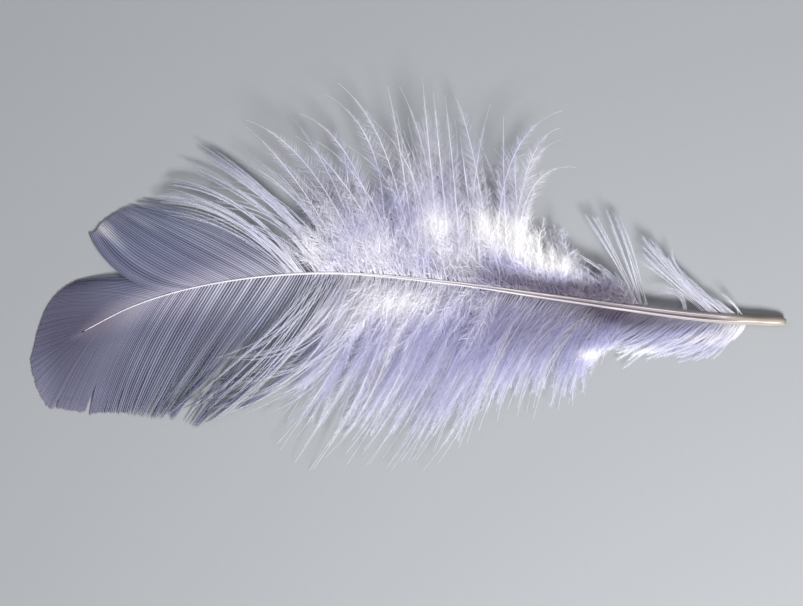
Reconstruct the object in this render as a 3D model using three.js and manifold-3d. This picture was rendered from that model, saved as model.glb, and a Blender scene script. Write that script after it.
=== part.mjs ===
// A white body feather of a duck or goose, shed and lying flat on the tips of its lower barbs.
// A shaft runs from the bare quill to the tip. Firm vanes stand on both sides of its outer third,
// loose down on both sides of the rest, and two tufts stand apart on the right, near the quill.
// Units are millimetres. +X points to the quill, +Y to the right vane and +Z up. The origin lies
// on the surface under the middle of the feather. A station is a distance along -X from the quill's end.

import * as THREE from "three";
import { mergeVertices } from "three/addons/utils/BufferGeometryUtils.js";
import Module from "manifold-3d";

const wasm = await Module();
wasm.setup();

// Driving dimensions of the shaft
const SHAFT_END = 112; // station where the shaft runs out in the vane
const FEATHER_END = 122; // station just past the tip of the vane
const SHAFT_SIDES = 10;
const SHAFT_STEPS = 30;
const SHAFT_HEIGHT = 1.15; // height over width of the shaft's section
const GROOVE_DEPTH = 0.42; // share of the radius that the groove on top is sunk by
const GROOVE_FROM = 9; // stations between which the groove runs
const GROOVE_TO = 78;
const SIDE_GAP = 0.25; // free space between the shaft and the barbs' roots

// The shaft's centre line: station, sideways place, height
const CENTRE_LINE = [
  [0, 0, 1.0],
  [14, 0.9, 2.1],
  [36, 3.8, 3.4],
  [55, 6.4, 4.0],
  [74, 7.8, 3.8],
  [92, 6.0, 2.7],
  [104, 2.6, 1.6],
  [112, -1.4, 0.9],
  [122, -7.0, 0.4],
];

// The shaft's radius: station, radius
const SHAFT_RADIUS = [
  [0, 0.5],
  [0.5, 0.78],
  [4, 0.86],
  [8, 0.83],
  [20, 0.68],
  [36, 0.55],
  [46, 0.43],
  [60, 0.31],
  [80, 0.22],
  [100, 0.14],
  [112, 0.08],
  [122, 0.04],
];

// Guide barbs: station of the root, length, lean from the direction of the tip, and curl.
// Lean is the barb's mean angle in degrees, outwards from -X, and curl is how far it turns outwards.
const RIGHT_TIP_BARBS = [
  [112.5, 8.8, -29, 2],
  [108.8, 11.0, -10, -20],
  [105.6, 12.7, 0, -24],
  [101.6, 14.8, 4, -22],
  [96.0, 17.8, 4, -28],
];
const RIGHT_LOBE_BARBS = [
  [97.2, 17.6, 33, 64],
  [92.8, 19.4, 31, 30],
  [89.6, 21.0, 30, 13],
  [85.9, 23.0, 28, 4],
  [81.6, 25.4, 26, -16],
  [76.8, 28.0, 23, -27],
];
const RIGHT_FREE_BARBS = [
  [76.0, 29.0, 24, -34],
  [75.0, 29.8, 26, -42],
  [74.0, 29.6, 30, -25],
  [72.8, 30.8, 37, -34],
  [71.5, 31.7, 42, -29],
  [70.4, 31.5, 43, -48],
];
const RIGHT_DOWN_BARBS = [
  [68.4, 29.3, 55, -34],
  [64.0, 29.7, 62, -27],
  [61.9, 32.2, 69, -33],
  [56.8, 31.6, 77, -9],
  [45.6, 33.5, 77, -18],
  [39.2, 29.0, 79, 3],
  [35.5, 25.0, 78, 16],
  [32.8, 18.1, 70, -2],
  [29.6, 12.8, 60, 10],
  [26.2, 9.6, 52, -6],
];
const SPLIT_TUFT_BARBS = [
  [23.2, 18.6, 60, 12],
  [22.4, 17.2, 67, 17],
  [21.5, 16.4, 70, 4],
  [20.8, 12.9, 71, 5],
];
const BASE_TUFT_BARBS = [
  [15.5, 9.4, 36, -62],
  [13.6, 14.6, 50, 12],
  [10.4, 17.9, 51, 30],
  [8.0, 15.5, 45, 36],
  [6.9, 10.4, 37, -3],
  [6.2, 6.0, 33, -20],
];
const LEFT_VANE_BARBS = [
  [112.5, 9.4, 29, 0],
  [110.1, 13.8, 45, 8],
  [108.8, 16.6, 54, 18],
  [106.7, 17.8, 60, 14],
  [103.6, 19.6, 65, 24],
  [99.2, 21.0, 64, 19],
  [91.2, 24.4, 60, 7],
  [86.4, 26.5, 58, 2],
  [80.2, 28.6, 54, -6],
];
const LEFT_FREE_BARBS = [
  [79.0, 29.4, 53, -10],
  [76.5, 30.0, 52, -24],
  [73.0, 30.2, 50, -37],
  [71.0, 28.4, 48, -52],
];
const LEFT_DOWN_BARBS = [
  [68.4, 28.6, 64, -26],
  [64.0, 34.9, 65, -22],
  [58.4, 34.6, 64, -24],
  [52.0, 34.3, 64, -24],
  [45.6, 31.4, 63, -30],
  [37.6, 27.5, 60, -21],
  [29.6, 22.8, 60, -7],
  [26.4, 19.1, 60, 8],
  [24.5, 13.7, 50, 6],
  [22.4, 12.1, 34, -20],
  [14.4, 11.5, 32, -27],
  [8.8, 8.6, 41, -39],
  [6.4, 4.6, 46, -16],
];

// Partings: a narrow gap between two barbs of a vane, from a share of their length out to the edge
const LEFT_PARTINGS = [
  { station: 103.6, from: 0.72, width: 1.0 },
  { station: 107.4, from: 0.84, width: 0.6 },
  { station: 95.0, from: 0.84, width: 0.5 },
  { station: 89.5, from: 0.78, width: 0.6 },
];
const RIGHT_PARTINGS = [
  { station: 91.4, from: 0.86, width: 0.6 },
  { station: 87.6, from: 0.88, width: 0.6 },
];

// Webs: barbs side by side as one sheet, out to a share of their length. A vane's web is thin, with
// low ridges for its barbs, and the inner part of the down is as dense but thicker.
const VANE_WEB = { reach: 1, root: 0.62, edge: 0.34, ridge: 0.1, rise: -1.4, arch: 1.1 };
const FREE_WEB = { reach: 0.3, root: 0.62, edge: 0.5, ridge: 0.1, rise: 2.6, arch: 0.2 };
const DOWN_WEB = { reach: 0.58, root: 1.0, edge: 0.9, ridge: 0.3, rise: 1.2, arch: 0.6 };
const TUFT_WEB = { reach: 0.3, root: 0.6, edge: 0.7, ridge: 0.1, rise: 2.2, arch: 0.2 };

// Locks: barbs that cling in a bunch. Width and thickness are full sizes at the widest place.
const FREE_LOCK = { width: 1.5, thickness: 0.8, rise: 0.5, arch: 1.6, waist: 0.3 };
const LOW_LOCK = { width: 4.3, thickness: 1.7, rise: 0.5, arch: -0.6, waist: 0.62 };
const RIGHT_HIGH_LOCK = { width: 4.0, thickness: 1.9, rise: 5.2, arch: 2.6, waist: 0.55, reach: 0.9 };
const LEFT_HIGH_LOCK = { ...RIGHT_HIGH_LOCK, rise: 4.0, reach: 0.88 };
const TUFT_LOCK = { width: 1.9, thickness: 1.2, rise: 2.6, arch: 0.8, waist: 0.6 };
const LOCK_SIDES = 4;
const LOCK_STEPS = 4;
const LOCK_WIDEST = 0.4; // share of the length where a lock is widest
const LOCK_TIP = 0.1; // width at the tip, as a share of the widest
const FULL_LENGTH = 16; // length from which a lock has its full width
const LENGTH_VARIETY = 0.05; // how much locks differ from their guides, as a share
const LEAN_VARIETY = 4; // the same in degrees
const CURL_VARIETY = 8;
const RISE_VARIETY = 0.35;

// Number of ribs across each web and of steps along its barbs
const RIGHT_TIP_MESH = { ribs: 10, steps: 5 };
const RIGHT_LOBE_MESH = { ribs: 18, steps: 6 };
const LEFT_VANE_MESH = { ribs: 30, steps: 6 };
const FREE_MESH = { ribs: 8, steps: 2 };
const RIGHT_DOWN_MESH = { ribs: 16, steps: 2 };
const LEFT_DOWN_MESH = { ribs: 22, steps: 2 };
const SPLIT_TUFT_MESH = { ribs: 4, steps: 2 };
const BASE_TUFT_MESH = { ribs: 6, steps: 2 };

// Rows of locks: how many there are, and the seed of their variety
const RIGHT_FREE_ROW = { count: 9, seed: 10 };
const LEFT_FREE_ROW = { count: 9, seed: 20 };
const RIGHT_LOW_ROW = { count: 11, seed: 30 };
const RIGHT_HIGH_ROW = { count: 9, seed: 40 };
const LEFT_LOW_ROW = { count: 16, seed: 50 };
const LEFT_HIGH_ROW = { count: 11, seed: 60 };
const SPLIT_TUFT_ROW = { count: 4, seed: 70 };
const BASE_TUFT_ROW = { count: 6, seed: 80 };

// Cutting tools, which reach well past the plumage
const CUT_STEPS = 30;
const CUT_WIDTH = 60;
const CUT_HEIGHT = 40;
const PARTING_STEPS = 3;
const PARTING_START = 0.04; // width where a parting begins
const PARTING_END = 1.06; // share of the barb's length where its cut ends
const WELD = 1e-4; // vertices closer than this are one

// Finishes
const SHAFT_FINISH = { color: 0xe9dfd2, roughness: 0.35, metalness: 0 };
const VANE_FINISH = { color: 0xc9c8d6, roughness: 0.6, metalness: 0 };
const DOWN_FINISH = { color: 0xf3f2fb, roughness: 0.8, metalness: 0 };

const RIGHT = 1;
const LEFT = -1;
const { lerp, smoothstep, degToRad } = THREE.MathUtils;

// A function of the station that reads rows of [station, value, value ...] between their stations.
function along(rows, Interpolant = THREE.LinearInterpolant) {
  const sorted = [...rows].sort((a, b) => a[0] - b[0]);
  const stations = sorted.map((row) => row[0]);
  const values = sorted.flatMap((row) => row.slice(1));
  const reader = new Interpolant(stations, values, sorted[0].length - 1);
  return (station) => [...reader.evaluate(station)];
}

const centreLine = along(CENTRE_LINE, THREE.CubicInterpolant);
const shaftRadius = along(SHAFT_RADIUS);

// The shaft at a station: its centre, its sideways direction (towards the right) and its radius.
function shaftAt(station) {
  const [y, z] = centreLine(station);
  const [yAhead] = centreLine(station + 0.5);
  const [yBehind] = centreLine(station - 0.5);
  const heading = new THREE.Vector2(-1, yAhead - yBehind).normalize();
  return {
    centre: new THREE.Vector3(-station, y, z),
    sideways: new THREE.Vector3(heading.y, -heading.x, 0),
    radius: shaftRadius(station)[0],
  };
}

// Moves each vertex of a unit primitive to the place that the function gives for it.
function shaped(geometry, place) {
  const position = geometry.getAttribute("position");
  const vertex = new THREE.Vector3();
  for (let i = 0; i < position.count; i += 1) {
    vertex.fromBufferAttribute(position, i);
    const { x, y, z } = place(vertex.x, vertex.y, vertex.z);
    position.setXYZ(i, x, y, z);
  }
  return geometry;
}

// A closed three.js geometry as a manifold-3d solid, turned the right way out.
function solid(geometry) {
  geometry.deleteAttribute("normal");
  geometry.deleteAttribute("uv");
  const merged = mergeVertices(geometry, WELD);
  const build = (triVerts) =>
    new wasm.Manifold(
      new wasm.Mesh({
        numProp: 3,
        vertProperties: new Float32Array(merged.getAttribute("position").array),
        triVerts,
      }),
    );
  const triangles = new Uint32Array(merged.index.array);
  const made = build(triangles);
  return made.volume() > 0 ? made : build(triangles.toReversed());
}

// A manifold-3d solid as a named three.js mesh.
function mesh(name, body, finish) {
  const { numProp, numVert, vertProperties, triVerts } = body.getMesh();
  const position = new Float32Array(numVert * 3);
  for (let i = 0; i < numVert; i += 1) {
    position.set(vertProperties.subarray(i * numProp, i * numProp + 3), i * 3);
  }
  const geometry = new THREE.BufferGeometry();
  geometry.setAttribute("position", new THREE.BufferAttribute(position, 3));
  geometry.setIndex(new THREE.BufferAttribute(new Uint32Array(triVerts), 1));
  geometry.computeVertexNormals();
  const made = new THREE.Mesh(geometry, new THREE.MeshStandardMaterial(finish));
  made.name = name;
  return made;
}

// The path of a barb: for a share of its length, its place, and its sideways direction in the plane.
function barbPath(side, [station, length, lean, curl], { rise, arch }) {
  const { centre, sideways, radius } = shaftAt(station);
  const root = centre.clone().addScaledVector(sideways, side * radius);
  const turn = degToRad(curl || 0.1);
  const start = degToRad(lean) - turn / 2;
  return (share) => {
    const angle = start + turn * share;
    const forward = (length * (Math.sin(angle) - Math.sin(start))) / turn;
    const outward = (length * (Math.cos(start) - Math.cos(angle))) / turn;
    const height = lerp(root.z, rise, share) + arch * 4 * share * (1 - share);
    return {
      place: new THREE.Vector3(root.x - forward, root.y + side * outward, height),
      across: new THREE.Vector3(side * Math.sin(angle), Math.cos(angle), 0),
    };
  };
}

// Steady, repeatable variety from -1 to 1 for the lock with this number in the row with this seed.
function variety(number, seed) {
  const wave = Math.sin(number * 12.9898 + seed * 78.233) * 43758.5453;
  return 2 * (wave - Math.floor(wave)) - 1;
}

// The shaft: a tapering rod, a little higher than wide, with the groove along its upper side.
function shaftSolid() {
  const rod = new THREE.CylinderGeometry(1, 1, 1, SHAFT_SIDES, SHAFT_STEPS);
  return solid(
    shaped(rod, (x, y, z) => {
      const station = SHAFT_END * (y + 0.5) ** 1.25;
      const { centre, sideways, radius } = shaftAt(station);
      const inGroove =
        smoothstep(station, GROOVE_FROM, GROOVE_FROM + 6) *
        (1 - smoothstep(station, GROOVE_TO - 20, GROOVE_TO));
      const sunk = z > 0.99 ? GROOVE_DEPTH * inGroove : 0;
      return centre
        .clone()
        .addScaledVector(sideways, x * radius)
        .add(new THREE.Vector3(0, 0, (z - sunk) * radius * SHAFT_HEIGHT));
    }),
  );
}

// All the space on the far side of the shaft, and the shaft's own with its gap: no barb reaches it.
function keepOut(side) {
  const slab = new THREE.BoxGeometry(1, 1, 1, CUT_STEPS, 1, 1);
  return solid(
    shaped(slab, (x, y, z) => {
      const station = lerp(-2, FEATHER_END, x + 0.5);
      const { centre, sideways, radius } = shaftAt(Math.max(station, 0));
      const near = station < SHAFT_END ? radius + SIDE_GAP : SIDE_GAP / 2;
      return new THREE.Vector3(-station, centre.y, z * CUT_HEIGHT).addScaledVector(
        sideways,
        side * (y > 0 ? near : -CUT_WIDTH),
      );
    }),
  );
}

// A web between the first and last guide barbs, which lies on the surface where it comes down to it.
function web(side, barbs, form, { ribs, steps }) {
  const guide = along(barbs);
  const from = barbs[0][0];
  const to = barbs.at(-1)[0];
  const sheet = new THREE.BoxGeometry(1, 1, 1, ribs, steps, 1);
  return solid(
    shaped(sheet, (x, y, z) => {
      const rib = Math.round((x + 0.5) * ribs);
      const station = lerp(from, to, x + 0.5);
      const share = y + 0.5;
      const { place } = barbPath(side, [station, ...guide(station)], form)(share * form.reach);
      const thickness = lerp(form.root, form.edge, share);
      const underside = Math.max(0, place.z - thickness / 2);
      const ridge = rib % 2 ? form.ridge : 0;
      return place.setZ(z > 0 ? underside + thickness + ridge : underside);
    }),
  );
}

// A lock along one barb path: wide in the middle, narrow at the root and drawn out to a point.
function lock(side, barb, form) {
  const path = barbPath(side, barb, form);
  const rod = new THREE.CylinderGeometry(1, 1, 1, LOCK_SIDES, LOCK_STEPS);
  return solid(
    shaped(rod, (x, y, z) => {
      const share = y + 0.5;
      const { place, across } = path(share);
      const swell =
        share < LOCK_WIDEST
          ? lerp(form.waist, 1, smoothstep(share, 0, LOCK_WIDEST))
          : lerp(1, LOCK_TIP, ((share - LOCK_WIDEST) / (1 - LOCK_WIDEST)) ** 1.4);
      place.addScaledVector(across, (x * swell * form.width) / 2);
      return place.setZ(Math.max(0, place.z + (z * swell * form.thickness) / 2));
    }),
  );
}

// A row of locks between the first and last guide barbs, each a little different from its neighbours.
function locks(side, barbs, form, { count, seed }) {
  const guide = along(barbs);
  const from = barbs[0][0];
  const to = barbs.at(-1)[0];
  return Array.from({ length: count }, (_, i) => {
    const station = lerp(from, to, i / (count - 1));
    const [length, lean, curl] = guide(station);
    const barb = [
      station,
      length * (form.reach ?? 1) * (1 + LENGTH_VARIETY * variety(i, seed)),
      lean + LEAN_VARIETY * variety(i, seed + 1),
      curl + CURL_VARIETY * variety(i, seed + 2),
    ];
    const size = Math.min(1, length / FULL_LENGTH);
    const width = form.width * size;
    const thickness = form.thickness * size;
    const rise = form.rise * (1 + RISE_VARIETY * variety(i, seed + 3));
    return lock(side, barb, { ...form, width, thickness, rise });
  });
}

// The gap that a parting leaves between two barbs of a web.
function parting(side, barbs, { station, from, width }) {
  const path = barbPath(side, [station, ...along(barbs)(station)], { rise: 0, arch: 0 });
  const wedge = new THREE.BoxGeometry(1, 1, 1, 1, PARTING_STEPS, 1);
  return solid(
    shaped(wedge, (x, y, z) => {
      const open = y + 0.5;
      const { place, across } = path(lerp(from, PARTING_END, open));
      place.addScaledVector(across, x * lerp(PARTING_START, width, open));
      return place.setZ(z * CUT_HEIGHT);
    }),
  );
}

// One side's plumage as a single body: its pieces joined, then cut clear of the shaft and partings.
function plumage(side, pieces, cuts = []) {
  const joined = wasm.Manifold.union(pieces);
  const cleared = wasm.Manifold.union([keepOut(side), ...cuts]);
  const bodies = joined.subtract(cleared).decompose();
  bodies.sort((a, b) => b.volume() - a.volume());
  return bodies[0];
}

const rightVane = plumage(
  RIGHT,
  [
    web(RIGHT, RIGHT_TIP_BARBS, VANE_WEB, RIGHT_TIP_MESH),
    web(RIGHT, RIGHT_LOBE_BARBS, VANE_WEB, RIGHT_LOBE_MESH),
    web(RIGHT, [RIGHT_LOBE_BARBS.at(-1), ...RIGHT_FREE_BARBS], FREE_WEB, FREE_MESH),
    ...locks(RIGHT, RIGHT_FREE_BARBS, FREE_LOCK, RIGHT_FREE_ROW),
  ],
  RIGHT_PARTINGS.map((gap) => parting(RIGHT, RIGHT_LOBE_BARBS, gap)),
);

const leftVane = plumage(
  LEFT,
  [
    web(LEFT, LEFT_VANE_BARBS, VANE_WEB, LEFT_VANE_MESH),
    web(LEFT, [LEFT_VANE_BARBS.at(-1), ...LEFT_FREE_BARBS], FREE_WEB, FREE_MESH),
    ...locks(LEFT, LEFT_FREE_BARBS, FREE_LOCK, LEFT_FREE_ROW),
  ],
  LEFT_PARTINGS.map((gap) => parting(LEFT, LEFT_VANE_BARBS, gap)),
);

const rightDown = plumage(RIGHT, [
  web(RIGHT, RIGHT_DOWN_BARBS, DOWN_WEB, RIGHT_DOWN_MESH),
  ...locks(RIGHT, RIGHT_DOWN_BARBS, LOW_LOCK, RIGHT_LOW_ROW),
  ...locks(RIGHT, RIGHT_DOWN_BARBS, RIGHT_HIGH_LOCK, RIGHT_HIGH_ROW),
]);

const leftDown = plumage(LEFT, [
  web(LEFT, LEFT_DOWN_BARBS, DOWN_WEB, LEFT_DOWN_MESH),
  ...locks(LEFT, LEFT_DOWN_BARBS, LOW_LOCK, LEFT_LOW_ROW),
  ...locks(LEFT, LEFT_DOWN_BARBS, LEFT_HIGH_LOCK, LEFT_HIGH_ROW),
]);

const splitTuft = plumage(RIGHT, [
  web(RIGHT, SPLIT_TUFT_BARBS, TUFT_WEB, SPLIT_TUFT_MESH),
  ...locks(RIGHT, SPLIT_TUFT_BARBS, TUFT_LOCK, SPLIT_TUFT_ROW),
]);

const baseTuft = plumage(RIGHT, [
  web(RIGHT, BASE_TUFT_BARBS, TUFT_WEB, BASE_TUFT_MESH),
  ...locks(RIGHT, BASE_TUFT_BARBS, TUFT_LOCK, BASE_TUFT_ROW),
]);

const feather = new THREE.Group();
feather.add(
  mesh("shaft", shaftSolid(), SHAFT_FINISH),
  mesh("right_vane", rightVane, VANE_FINISH),
  mesh("left_vane", leftVane, VANE_FINISH),
  mesh("right_down", rightDown, DOWN_FINISH),
  mesh("left_down", leftDown, DOWN_FINISH),
  mesh("right_split_tuft", splitTuft, DOWN_FINISH),
  mesh("right_base_tuft", baseTuft, DOWN_FINISH),
);

// The origin goes under the middle of the feather, on the surface that it lies on.
const box = new THREE.Box3().setFromObject(feather);
const middle = box.getCenter(new THREE.Vector3());
feather.position.set(-middle.x, -middle.y, -box.min.z);

export default feather;
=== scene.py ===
"""A white body feather of a duck or goose, lying on a pale surface and seen from straight above.

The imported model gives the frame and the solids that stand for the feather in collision. This script
grows the feather that is seen: a grooved shaft, firm vanes of ridged barbs, and loose down whose barbs
carry fine barbules. Sizes are millimetres and angles degrees until a mesh is made, and a station is a
distance along the feather from the quill's end.
"""

import logging
import math
from dataclasses import dataclass, field, replace
from enum import Enum

import bpy
import numpy as np
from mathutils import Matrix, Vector


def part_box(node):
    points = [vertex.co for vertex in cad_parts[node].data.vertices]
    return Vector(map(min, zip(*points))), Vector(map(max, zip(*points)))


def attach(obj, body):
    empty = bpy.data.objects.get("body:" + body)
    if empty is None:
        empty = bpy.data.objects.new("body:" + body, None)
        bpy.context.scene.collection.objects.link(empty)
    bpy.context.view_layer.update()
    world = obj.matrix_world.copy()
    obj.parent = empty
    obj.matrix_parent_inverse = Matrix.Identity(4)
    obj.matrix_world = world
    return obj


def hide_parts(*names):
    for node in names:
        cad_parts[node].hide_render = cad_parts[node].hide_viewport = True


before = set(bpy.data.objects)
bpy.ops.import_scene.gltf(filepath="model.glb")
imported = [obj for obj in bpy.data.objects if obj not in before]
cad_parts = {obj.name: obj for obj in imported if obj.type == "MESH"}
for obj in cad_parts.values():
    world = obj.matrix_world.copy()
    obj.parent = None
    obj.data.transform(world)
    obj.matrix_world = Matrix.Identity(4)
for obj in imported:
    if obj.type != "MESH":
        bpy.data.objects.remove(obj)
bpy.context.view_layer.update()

BODY = "root"
MM = 0.001
TIP_ZONE = (97.0, 108.0)  # stations between which the vane turns smooth
CROWD_ZONE = (94.0, 108.0)  # stations between which a vane's barbs draw closer together
CLEARANCE = 0.02  # mm between a barb and the surface under it
LEAST_CURL = 0.5  # the curl that a straighter barb is laid out with
PIXEL = 0.16  # mm for one pixel of the photo, in which the traced barbs are read
QUILL_PIXEL = (785.0, 322.0)  # where the quill ends in the photo

RIM_SEED, BLADE_SEED, HAIR_SEED = 7, 9, 500  # added to the seed of the barbs for that of their hairs

log = logging.getLogger("feather")

Pair = tuple[float, float]  # mostly the lowest and highest value of a range
Colour = tuple[float, float, float]
GuideRows = tuple[tuple[float, float, float, float], ...]
TracedRows = tuple[tuple[float, float, float, float, float], ...]


class Side(Enum):
    """The side of the shaft, seen from the quill: +Y in the frame is the right."""

    RIGHT = 1
    LEFT = -1


class Slot(Enum):
    """The record's material slots."""

    SHAFT = "shaft"
    VANE = "vane"
    DOWN = "down"


# Guide barbs: station of the root, length, lean outwards from the tip's direction, and curl outwards

RIGHT_TIP_GUIDES: GuideRows = (
    (112.5, 9.3, -29, 0), (111.2, 9.6, -21, 6), (108.8, 10.9, -10, -20), (105.6, 12.7, 0, -25),
    (101.6, 14.8, 4, -21), (96.0, 17.8, 4, -28),
)
RIGHT_LOBE_GUIDES: GuideRows = (
    (97.4, 17.4, 34, 66), (95.5, 18.2, 32, 63), (92.8, 19.4, 31, 30), (89.6, 20.9, 30, 13),
    (85.9, 22.9, 28, 4), (81.6, 25.4, 26, -16), (76.8, 28.0, 23, -27),
)
RIGHT_DOWN_GUIDES: GuideRows = (
    (70.0, 28.6, 50, -36), (68.4, 29.3, 55, -34), (65.6, 29.4, 63, -25), (61.9, 32.2, 69, -33),
    (60.0, 33.3, 70, -34), (56.8, 31.6, 78, -9), (52.0, 33.5, 79, -13), (45.6, 33.5, 77, -18),
    (39.2, 30.0, 79, 3), (36.0, 26.0, 82, 20), (32.8, 18.1, 70, -2), (29.6, 12.8, 60, 11),
    (27.2, 10.7, 50, -8), (24.6, 9.6, 48, -6),
)
RIGHT_LONG_GUIDES = RIGHT_DOWN_GUIDES[:9]
RIGHT_WOOL_GUIDES: GuideRows = (
    (73.0, 10.5, 48, -20), (68.0, 12.0, 60, -15), (61.0, 13.5, 70, -15), (54.0, 15.5, 75, -10),
    (48.0, 16.0, 77, -10), (43.0, 15.0, 78, 0), (39.5, 12.5, 80, 8), (36.0, 10.0, 76, 8),
    (32.5, 7.6, 66, 5), (29.0, 6.2, 54, 0), (24.6, 5.0, 40, 0),
)
LEFT_VANE_GUIDES: GuideRows = (
    (112.5, 9.3, 29, 0), (110.1, 13.8, 45, 8), (108.8, 16.6, 55, 18), (106.7, 17.8, 60, 14),
    (104.0, 19.2, 64, 22), (99.2, 21.0, 64, 19), (95.2, 22.6, 63, 17), (91.2, 24.4, 61, 7),
    (86.4, 26.5, 58, 2), (81.6, 28.2, 54, -5), (77.6, 29.9, 53, -14), (75.2, 30.1, 52, -32),
    (72.8, 30.3, 50, -37), (71.2, 28.6, 47, -51), (69.9, 27.8, 48, -58),
)
LEFT_DOWN_GUIDES: GuideRows = (
    (70.4, 28.0, 56, -40), (69.3, 28.2, 63, -26), (66.7, 31.4, 64, -24), (64.0, 34.9, 65, -22),
    (61.6, 35.2, 65, -17), (58.4, 34.0, 63, -24), (52.0, 34.3, 65, -18), (48.8, 33.5, 64, -10),
    (45.6, 31.4, 63, 4), (41.6, 29.6, 62, 18), (37.6, 27.2, 60, 30), (33.6, 24.8, 59, 40),
    (29.6, 23.4, 60, 46), (26.4, 20.0, 60, 44), (24.5, 14.6, 52, 30),
)
LEFT_WOOL_GUIDES = LEFT_DOWN_GUIDES[2:9]
LEFT_FRINGE_GUIDES: GuideRows = (
    (25.0, 14.0, 48, 2), (22.4, 12.1, 34, -20), (18.4, 12.4, 34, -19), (14.4, 11.5, 32, -27),
    (11.2, 10.4, 33, -46), (8.8, 8.6, 41, -39), (7.2, 6.7, 48, -12), (6.2, 4.1, 46, -16),
)

# Traced barbs, in the photo's pixels: the root's x on the shaft, the middle's x and y, and the tip's

FREE_BLADES: TracedRows = (
    (294, 226, 217, 152, 202), (299, 229, 213, 157, 196), (305, 240, 208, 163, 182),
    (319, 262, 208, 178, 161), (325, 270, 204, 192, 150), (330, 276, 205, 197, 144),
    (334, 283, 208, 206, 146),
)
FREE_HAIRS: TracedRows = (
    (286, 221, 226, 149, 210), (290, 224, 222, 147, 206), (296, 232, 221, 166, 200),
    (336, 272, 216, 205, 203), (340, 280, 205, 212, 186), (322, 262, 222, 190, 214),
    (344, 292, 196, 228, 158), (348, 300, 200, 232, 148), (314, 262, 228, 214, 222),
)
RIGHT_SPIKE_ROWS: TracedRows = (
    (352, 299, 186, 246, 130), (362, 312, 172, 249, 124), (370, 331, 176, 290, 115),
    (388, 352, 166, 300, 116), (382, 376, 160, 326, 94), (414, 386, 156, 340, 87),
    (362, 348, 180, 337, 125), (418, 404, 172, 390, 89), (440, 428, 168, 402, 87),
    (442, 430, 160, 422, 80), (452, 440, 168, 432, 95), (462, 452, 170, 444, 97),
    (492, 472, 158, 449, 88), (470, 474, 184, 490, 106), (508, 503, 190, 502, 120),
    (496, 508, 168, 560, 114), (508, 525, 175, 559, 131), (514, 524, 184, 560, 140),
    (518, 528, 196, 575, 169), (398, 346, 186, 297, 137), (426, 416, 190, 372, 122),
    (478, 466, 190, 458, 132), (530, 516, 196, 517, 142), (404, 366, 190, 318, 142),
)
LEFT_SPIKE_ROWS: TracedRows = (
    (370, 330, 356, 275, 430), (376, 336, 368, 280, 447), (390, 350, 380, 294, 472),
    (404, 364, 384, 309, 477), (414, 374, 384, 322, 462), (434, 395, 382, 340, 467),
    (442, 404, 382, 350, 460), (464, 426, 388, 371, 477), (472, 434, 390, 380, 480),
    (484, 446, 388, 392, 472), (496, 458, 382, 405, 460), (518, 481, 388, 429, 472),
    (514, 470, 369, 432, 451), (530, 482, 367, 448, 449), (538, 491, 368, 459, 450),
    (556, 503, 357, 471, 432), (566, 512, 362, 481, 441), (578, 524, 357, 494, 431),
    (585, 536, 351, 508, 418), (600, 550, 346, 522, 408), (603, 551, 359, 526, 433),
    (612, 569, 350, 546, 412), (623, 581, 350, 560, 411),
)
LEFT_STRAY_ROWS: TracedRows = (
    (320, 262, 338, 187, 400), (326, 270, 344, 196, 408), (333, 276, 352, 205, 417),
    (338, 284, 356, 212, 419), (343, 290, 352, 222, 412), (349, 292, 345, 199, 356),
    (353, 298, 342, 226, 352), (357, 305, 362, 229, 404), (362, 312, 366, 204, 420),
    (366, 322, 366, 246, 398), (369, 318, 358, 191, 382), (373, 330, 360, 262, 405),
    (376, 334, 350, 238, 372), (330, 282, 330, 210, 366), (372, 324, 344, 262, 372),
    (378, 331, 350, 273, 386), (366, 314, 340, 252, 361), (384, 338, 352, 283, 398),
    (396, 352, 318, 322, 338), (398, 358, 313, 316, 321), (400, 360, 320, 280, 345),
    (402, 362, 311, 306, 326), (404, 366, 316, 296, 335),
)
RIGHT_STREAK_ROWS: TracedRows = (
    (632, 600, 272, 568, 255), (633, 608, 277, 588, 266), (634, 613, 277, 600, 267),
    (628, 590, 275, 561, 262), (622, 584, 279, 554, 268), (634, 618, 283, 606, 273),
    (612, 578, 273, 548, 258), (604, 568, 272, 542, 262), (594, 562, 270, 536, 252),
)
SPLIT_TUFT_ROWS: TracedRows = (
    (637, 611, 256, 583, 211), (638, 612, 250, 591, 209), (641, 622, 255, 605, 210),
    (643, 626, 253, 612, 214), (646, 632, 254, 618, 216),
)
BASE_TUFT_ROWS: TracedRows = (
    (712, 668, 267, 641, 232), (711, 671, 269, 648, 236), (714, 678, 276, 665, 250),
    (708, 668, 280, 644, 260), (716, 685, 284, 669, 262), (684, 674, 291, 647, 289),
    (730, 708, 299, 688, 284), (742, 733, 306, 722, 297), (722, 692, 289, 672, 268),
    (706, 664, 272, 640, 246), (736, 720, 304, 705, 294), (726, 702, 294, 684, 279),
)


@dataclass(frozen=True)
class Patch:
    """A soft round place of painted highlight on the plumage, or of painted shade where the gain is negative.
    """

    station: float
    offset: float  # mm to the right of the quill's end
    along: float
    aside: float
    gain: float
    turn: float = 0.0


# Painted highlights where light falls brightest on the plumage, and painted shade, mostly along the shaft and
# over the vane's tip
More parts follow.
